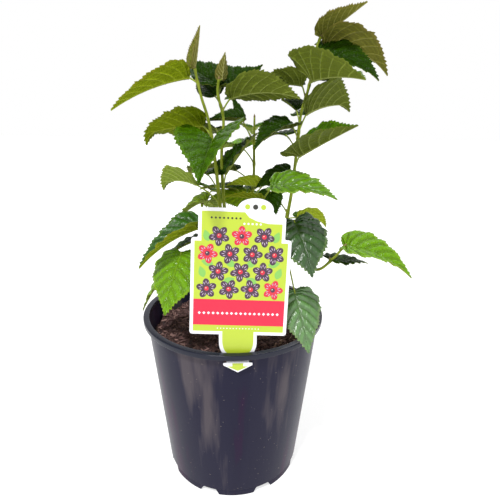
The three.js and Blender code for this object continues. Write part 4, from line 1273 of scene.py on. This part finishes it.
def make_soil():
    rng = np.random.default_rng(SOIL_SEED)
    top = wall_inner(SOIL_TOP - 6) - SOIL_GAP
    bottom = FOOT_HEIGHT + FLOOR_THICKNESS + 0.4
    lumps = rng.uniform(-top, top, (SOIL_LUMPS, 2))
    sizes = rng.uniform(*LUMP_SIZES, SOIL_LUMPS)
    heights = rng.uniform(*LUMP_HEIGHTS, SOIL_LUMPS)
    verts = [(0, 0, SOIL_TOP - 0.4), (0, 0, bottom)]
    turns = round_turns(SOIL_SIDES)
    for k in range(1, SOIL_RINGS + 1):
        r = top * k / SOIL_RINGS
        x = r * np.cos(turns)
        y = r * np.sin(turns)
        distance = (x[:, None] - lumps[:, 0]) ** 2 + (y[:, None] - lumps[:, 1]) ** 2
        z = soil_height(x, y) + (heights * np.exp(-distance / sizes ** 2)).sum(1)
        if k == SOIL_RINGS:
            z = z - SOIL_EDGE_DROP
        verts.extend(zip(x, y, z))
    for r, z in ((top, SOIL_TOP - SOIL_EDGE_DEPTH), (wall_inner(bottom) - SOIL_GAP, bottom)):
        verts.extend(zip(r * np.cos(turns), r * np.sin(turns), np.full(SOIL_SIDES, z)))
    faces = flipped(capped_faces(SOIL_RINGS + 2, SOIL_SIDES))
    base, shreds = soil_palette()
    hand_in(mesh_object("potting_mix", verts, faces, [base]), "potting_mix", "soil")
    pile = Pile()
    for _ in range(SHRED_COUNT):
        add_shred(pile, rng, top)
    hand_in(pile.build("bark_shreds", shreds, False), "potting_mix")


def add_shred(pile, rng, reach):
    """A bark shred on the mix: a short bent bar with torn, uneven sides."""
    r = reach * math.sqrt(rng.uniform(0.004, 0.985))
    a = rng.uniform(0, math.tau)
    x = r * math.cos(a)
    y = r * math.sin(a)
    z = float(soil_height(x, y)) + rng.uniform(*SHRED_LIFT)
    length = float(np.clip(rng.lognormal(*SHRED_LOG_LENGTH), *SHRED_LENGTHS))
    if r > reach - length / 2:
        length = min(length, 3)
    width = min(length * rng.uniform(*SHRED_WIDTHS), SHRED_WIDEST)
    thick = width * rng.uniform(*SHRED_THICKNESS)
    bend = rng.uniform(-SHRED_BEND, SHRED_BEND) * length
    rows = []
    for s in np.linspace(-0.5, 0.5, 4):
        jag = rng.uniform(*SHRED_JAG, 4) * (1 - SHRED_TAPER * abs(2 * s) ** 2)
        for (p, q), size in zip(rectangle(0, 0.5, -0.5, 0.5), jag):
            rows.append((s * length, bend * (1 - 4 * s * s) + p * width * size, q * thick * size))
    angles = (rng.uniform(0, math.tau), rng.normal(0, 0.3), rng.uniform(0, math.tau))
    spin, tilt, roll = [Matrix.Rotation(angle, 3, axis) for angle, axis in zip(angles, "ZYX")]
    points = np.array(rows) @ np.array(spin @ tilt @ roll).T + np.array([x, y, z])
    faces = [(3, 2, 1, 0), (12, 13, 14, 15), *ring_faces(4, 4)]
    pile.add(points, faces, int(rng.choice(len(SHRED_SHARES), p=SHRED_SHARES)))


def soil_palette():
    base = new_material("damp_mix", (48, 34, 33), 0.95, 0.2)
    crumbs = noise(base, object_places(base), 420, 6, 0.7)
    shade(base, {
        "Base Color": colour_ramp(base, crumbs, [(0.35, (38, 28, 27)), (0.65, (96, 70, 66))]),
        "Normal": bump(base, crumbs, 0.002, 1.0),
    })
    shreds = []
    for k, colour in enumerate(SHRED_COLOURS):
        shred = new_material(f"bark_shred_{k}", colour, 0.85, 0.3)
        shreds.append(grain(shred, 900, 4, 0.0006, 0.8, 0.7))
    return base, shreds


# Plant tag

def quarter(steps, first=0):
    """Sines and cosines of even steps through a quarter turn."""
    turns = [math.pi / 2 * k / steps for k in range(first, steps + 1)]
    return [(math.sin(a), math.cos(a)) for a in turns]


def widening(low, rise, slim, wide, steps, first=0):
    """Rows of the card that widen in a quarter circle, from low upwards."""
    rows = []
    for sine, cosine in quarter(steps, first):
        half = slim + (wide - slim) * sine
        rows.append((low + rise * (1 - cosine), -half, half))
    return rows


def corner(top, first=0):
    """Heights along a rounded corner that ends at top, each with the inset there."""
    return [(top - TAG_CORNER * (1 - s), TAG_CORNER * (1 - c)) for s, c in quarter(6, first)]


def tag_rows():
    """Rows across the card from the arrow's tip upwards, each (height, left, right)."""
    low = TAG_CORNER
    wide = TAG_HALF_WIDTH
    slim = TAG_UPPER_HALF_WIDTH
    neck = TAG_NECK_HALF_WIDTH
    tab = TAG_TAB_HALF_WIDTH
    right = TAG_ARCH_RIGHT
    step = TAG_UPPER_TOP_RIGHT
    rows = [(height, -half, half) for height, half in TAG_ARROW]
    rows += widening(TAG_NECK_TOP, 11, neck, tab, 12, 1)
    rows.append((0, -tab, tab))
    rows += widening(0.05, low, wide - low, wide, 8)
    rows += [(height, inset - wide, wide - inset) for height, inset in corner(TAG_SHOULDER)]
    rows += [(TAG_SHOULDER + 0.1, -slim - 1, slim + 1), (TAG_SHOULDER + 1, -slim, slim)]
    rows += [(height, -slim, slim - inset) for height, inset in corner(step)]
    rows += [(step + 0.1, -slim, right + 5), (step + 1.2, -slim, right + 2.6)]
    rows.append((TAG_UPPER_TOP - TAG_CORNER, -slim, right + 0.8))
    rows += [(height, inset - slim, right) for height, inset in corner(TAG_UPPER_TOP, 1)]
    middle = (TAG_ARCH_LEFT + right) / 2
    half = (right - TAG_ARCH_LEFT) / 2
    for k in range(14):
        a = math.pi / 2 * (0.02 + 0.95 * k / 13)
        reach = half * math.cos(a)
        height = TAG_UPPER_TOP + 0.1 + (TAG_ARCH_TOP - TAG_UPPER_TOP) * math.sin(a)
        rows.append((height, middle - reach, middle + reach))
    return rows


def tag_place(height):
    """Where a row of the card lies, as y and z."""
    if height > 0:
        return TAG_BASE_Y + height * math.sin(TAG_LEAN), TAG_BASE_Z + height * math.cos(TAG_LEAN)
    return interpolate(TAG_BENDS, height)


def tag_point(x, height, off):
    """A point of the card: x across it, height along it, off in front of its middle."""
    y0, z0 = tag_place(height - 0.8)
    y1, z1 = tag_place(height + 0.8)
    size = math.hypot(y1 - y0, z1 - z0)
    turn = TAG_TURN * min(1, max(0, (height + 16) / 16))
    y, z = tag_place(height)
    return (
        TAG_X + x + turn * max(0, height), y - off * (z1 - z0) / size,
        z + off * (y1 - y0) / size - turn * x,
    )


def tag_sheet(rows, front, back):
    """A closed sheet following the card, between two distances in front of its middle."""
    columns = range(TAG_COLUMNS + 1)
    round_card = [(i, front) for i in columns] + [(i, back) for i in reversed(columns)]
    points = [
        tag_point(left + (right - left) * i / TAG_COLUMNS, height, off)
        for height, left, right in rows for i, off in round_card
    ]
    sides = len(round_card)
    last = sides * (len(rows) - 1)
    faces = ring_faces(len(rows), sides)
    for i in range(TAG_COLUMNS):
        behind = sides - 1 - i
        faces.append((i + 1, i, behind, behind - 1))
        faces.append((last + i, last + i + 1, last + behind - 1, last + behind))
    return points, faces


class Ink(Pile):
    """What is printed on the card's face, in layers that lie a little above each other."""

    def sheet(self, rows, colour):
        self.add(*tag_sheet(rows, TAG_FACE + 0.05, TAG_FACE + 0.01), colour)

    def shape(self, outline, level, colour):
        """A thin shape at a level above the face, from its outline in x and height."""
        n = len(outline)
        middle = [sum(place) / n for place in zip(*outline)]
        points = [tag_point(x, height, TAG_FACE + level) for x, height in (middle, *outline)]
        self.add(points, [(0, 1 + i, 1 + (i + 1) % n) for i in range(n)], colour)


def turned(x, h, turn, points):
    """Points turned about the origin and moved to x and h."""
    c = math.cos(turn)
    s = math.sin(turn)
    return [(x + u * c - v * s, h + u * s + v * c) for u, v in points]


def oval(x, h, length, width, turn, count=22):
    turns = round_turns(count)
    return turned(x, h, turn, [(length / 2 * math.cos(a), width / 2 * math.sin(a)) for a in turns])


def leaf_outline(x, h, length, turn, count=13):
    """Outline of a printed leaf, from its stalk round its tip."""
    points = []
    for side in (1, -1):
        for i in range(count):
            t = i / count if side > 0 else 1 - i / count
            width = 0.3 * length * math.sin(math.pi * t) ** 0.8 * (1.25 - 0.6 * t)
            points.append(((t - 0.5) * length, side * width))
    return turned(x, h, turn, points)


def field_rows(low, high):
    """Rows of the printed field inside the card's white border."""
    wide = TAG_HALF_WIDTH - TAG_BORDER
    slim = TAG_UPPER_HALF_WIDTH - TAG_BORDER
    step = TAG_SHOULDER - TAG_BORDER
    corners = [
        (TAG_BORDER, -wide, wide), (step, -wide, wide), (step + 0.05, -slim, slim),
        (FIELD_STEP, -slim, slim), *[(height, -slim, right) for height, right in FIELD_CURVE],
    ]
    heights = {low, high, *[place[0] for place in corners if low < place[0] < high]}
    return [(height, *interpolate(corners, height)) for height in sorted(heights)]


def add_blossom(ink, x, h, turn, petal, centre):
    """A plain five-petalled flower, with paler streaks along its petals."""
    for k in range(PETAL_COUNT):
        a = turn + math.tau * k / PETAL_COUNT
        level = 0.004 * k
        place = (x + PETAL_REACH * math.cos(a), h + PETAL_REACH * math.sin(a))
        ink.shape(oval(*place, *PETAL, a), 0.08 + level, petal)
        for aside, reach in STREAK_PLACES:
            way = a + aside
            place = (x + reach * math.cos(way), h + reach * math.sin(way))
            ink.shape(oval(*place, *STREAK, way, 10), 0.12 + level, LILAC)
    ink.shape(oval(x, h, *HEART, 0), 0.15, centre)
    ink.shape(oval(x - 0.5, h + 0.6, *HEART_DOT, 0.5, 10), 0.165, PALE)


def make_tag():
    materials = []
    for name, colour in TAG_COLOURS:
        materials.append(grain(new_material(name, colour, 0.3, 0.5, 0.25), 60, 2, 0.0006, 0.15))
    card = Pile()
    card.add(*tag_sheet(tag_rows(), TAG_FACE, -TAG_FACE), WHITE)
    piece = card.build("tag_card", materials)
    piece.data.set_sharp_from_angle(angle=rad(40))
    hand_in(piece, "tag_card", "plant_tag")
    ink = Ink()
    for low, high, colour in TAG_FIELDS:
        ink.sheet(field_rows(low, high), colour)
    inner = TAG_TAB_HALF_WIDTH - TAG_BORDER
    tab = widening(TAG_NECK_TOP + 1, 11.5, TAG_NECK_HALF_WIDTH - 2.6, inner, 8)
    ink.sheet(tab + [(height, -inner, inner) for height in (-3, 0, TAG_BORDER)], LIME)
    ink.sheet([(height, -half, half) for height, half in PRINTED_ARROW], LIME)
    for row in range(4):
        for k in range(3 if row % 2 else 4):
            x = BLOSSOM_STEP * (k - (1 if row % 2 else 1.5))
            petal, centre = (RED, PLUM) if (3 * row + 2 * k) % 5 == 1 else (PLUM, RED)
            height = BLOSSOM_ROWS[0] + BLOSSOM_ROWS[1] * row
            add_blossom(ink, x, height, 0.4 + 0.7 * k + row, petal, centre)
    for x, height, turn in TAG_LEAVES:
        ink.shape(leaf_outline(x, height, 11, turn), 0.07, LEAF)
    for count, x, height, step, size, sides, colour in TAG_DOTS:
        for k in range(count):
            ink.shape(oval(x + step * k, height, size, size, 0, sides), 0.08, colour)
    hand_in(ink.build("tag_print", materials, False), "tag_card")


# Floor, light and camera

def make_stage():
    white = new_material("pale_floor", (188, 188, 188), 0.9, 0.0)
    shade(white, {"Emission Color": (1, 1, 1, 1), "Emission Strength": FLOOR_GLOW})
    corners = [(x, y, 0) for x, y in rectangle(0, FLOOR_REACH, -FLOOR_REACH, FLOOR_REACH)]
    mesh_object("floor", corners, [(0, 1, 2, 3)], [white])
    world = bpy.data.worlds.new("studio")
    world.use_nodes = True
    place = add_node(world, "ShaderNodeTexCoord", {}).outputs["Generated"]
    height = add_node(world, "ShaderNodeSeparateXYZ", {"Vector": place}).outputs["Z"]
    light = spread(world, height, *SKY_BLEND, HORIZON_LIGHT, ZENITH_LIGHT)
    sky = world.node_tree.nodes["Background"]
    set_inputs(world, sky, {"Color": (1, 1, 1, 1), "Strength": light})
    bpy.context.scene.world = world
    for sun in SUNS:
        add_sun(*sun)
    bpy.context.scene.view_settings.view_transform = "Standard"


def add_sun(name, azimuth, elevation, strength, width):
    data = bpy.data.lights.new(name, "SUN")
    data.energy = strength
    data.angle = rad(width)
    lamp = new_object(name, data)
    a = rad(azimuth)
    e = rad(elevation)
    way = Vector((math.sin(a) * math.cos(e), -math.cos(a) * math.cos(e), math.sin(e)))
    lamp.rotation_euler = way.to_track_quat("Z", "Y").to_euler()
    lamp.location = way


def make_camera():
    data = bpy.data.cameras.new("camera")
    data.sensor_width = CAMERA_SENSOR
    data.lens = CAMERA_SENSOR * CAMERA_FOCUS
    data.clip_start = 0.02
    camera = new_object("camera", data)
    turns = ((-CAMERA_YAW, "Z"), (math.pi / 2 - CAMERA_PITCH, "X"), (CAMERA_ROLL, "Z"))
    yaw, pitch, roll = [Matrix.Rotation(angle, 4, axis) for angle, axis in turns]
    camera.matrix_world = Matrix.Translation(Vector(CAMERA_PLACE) * MM) @ yaw @ pitch @ roll
    bpy.context.scene.camera = camera


make_camera()
make_stage()
make_pot()
make_soil()
make_trunk()
make_plant()
make_tag()
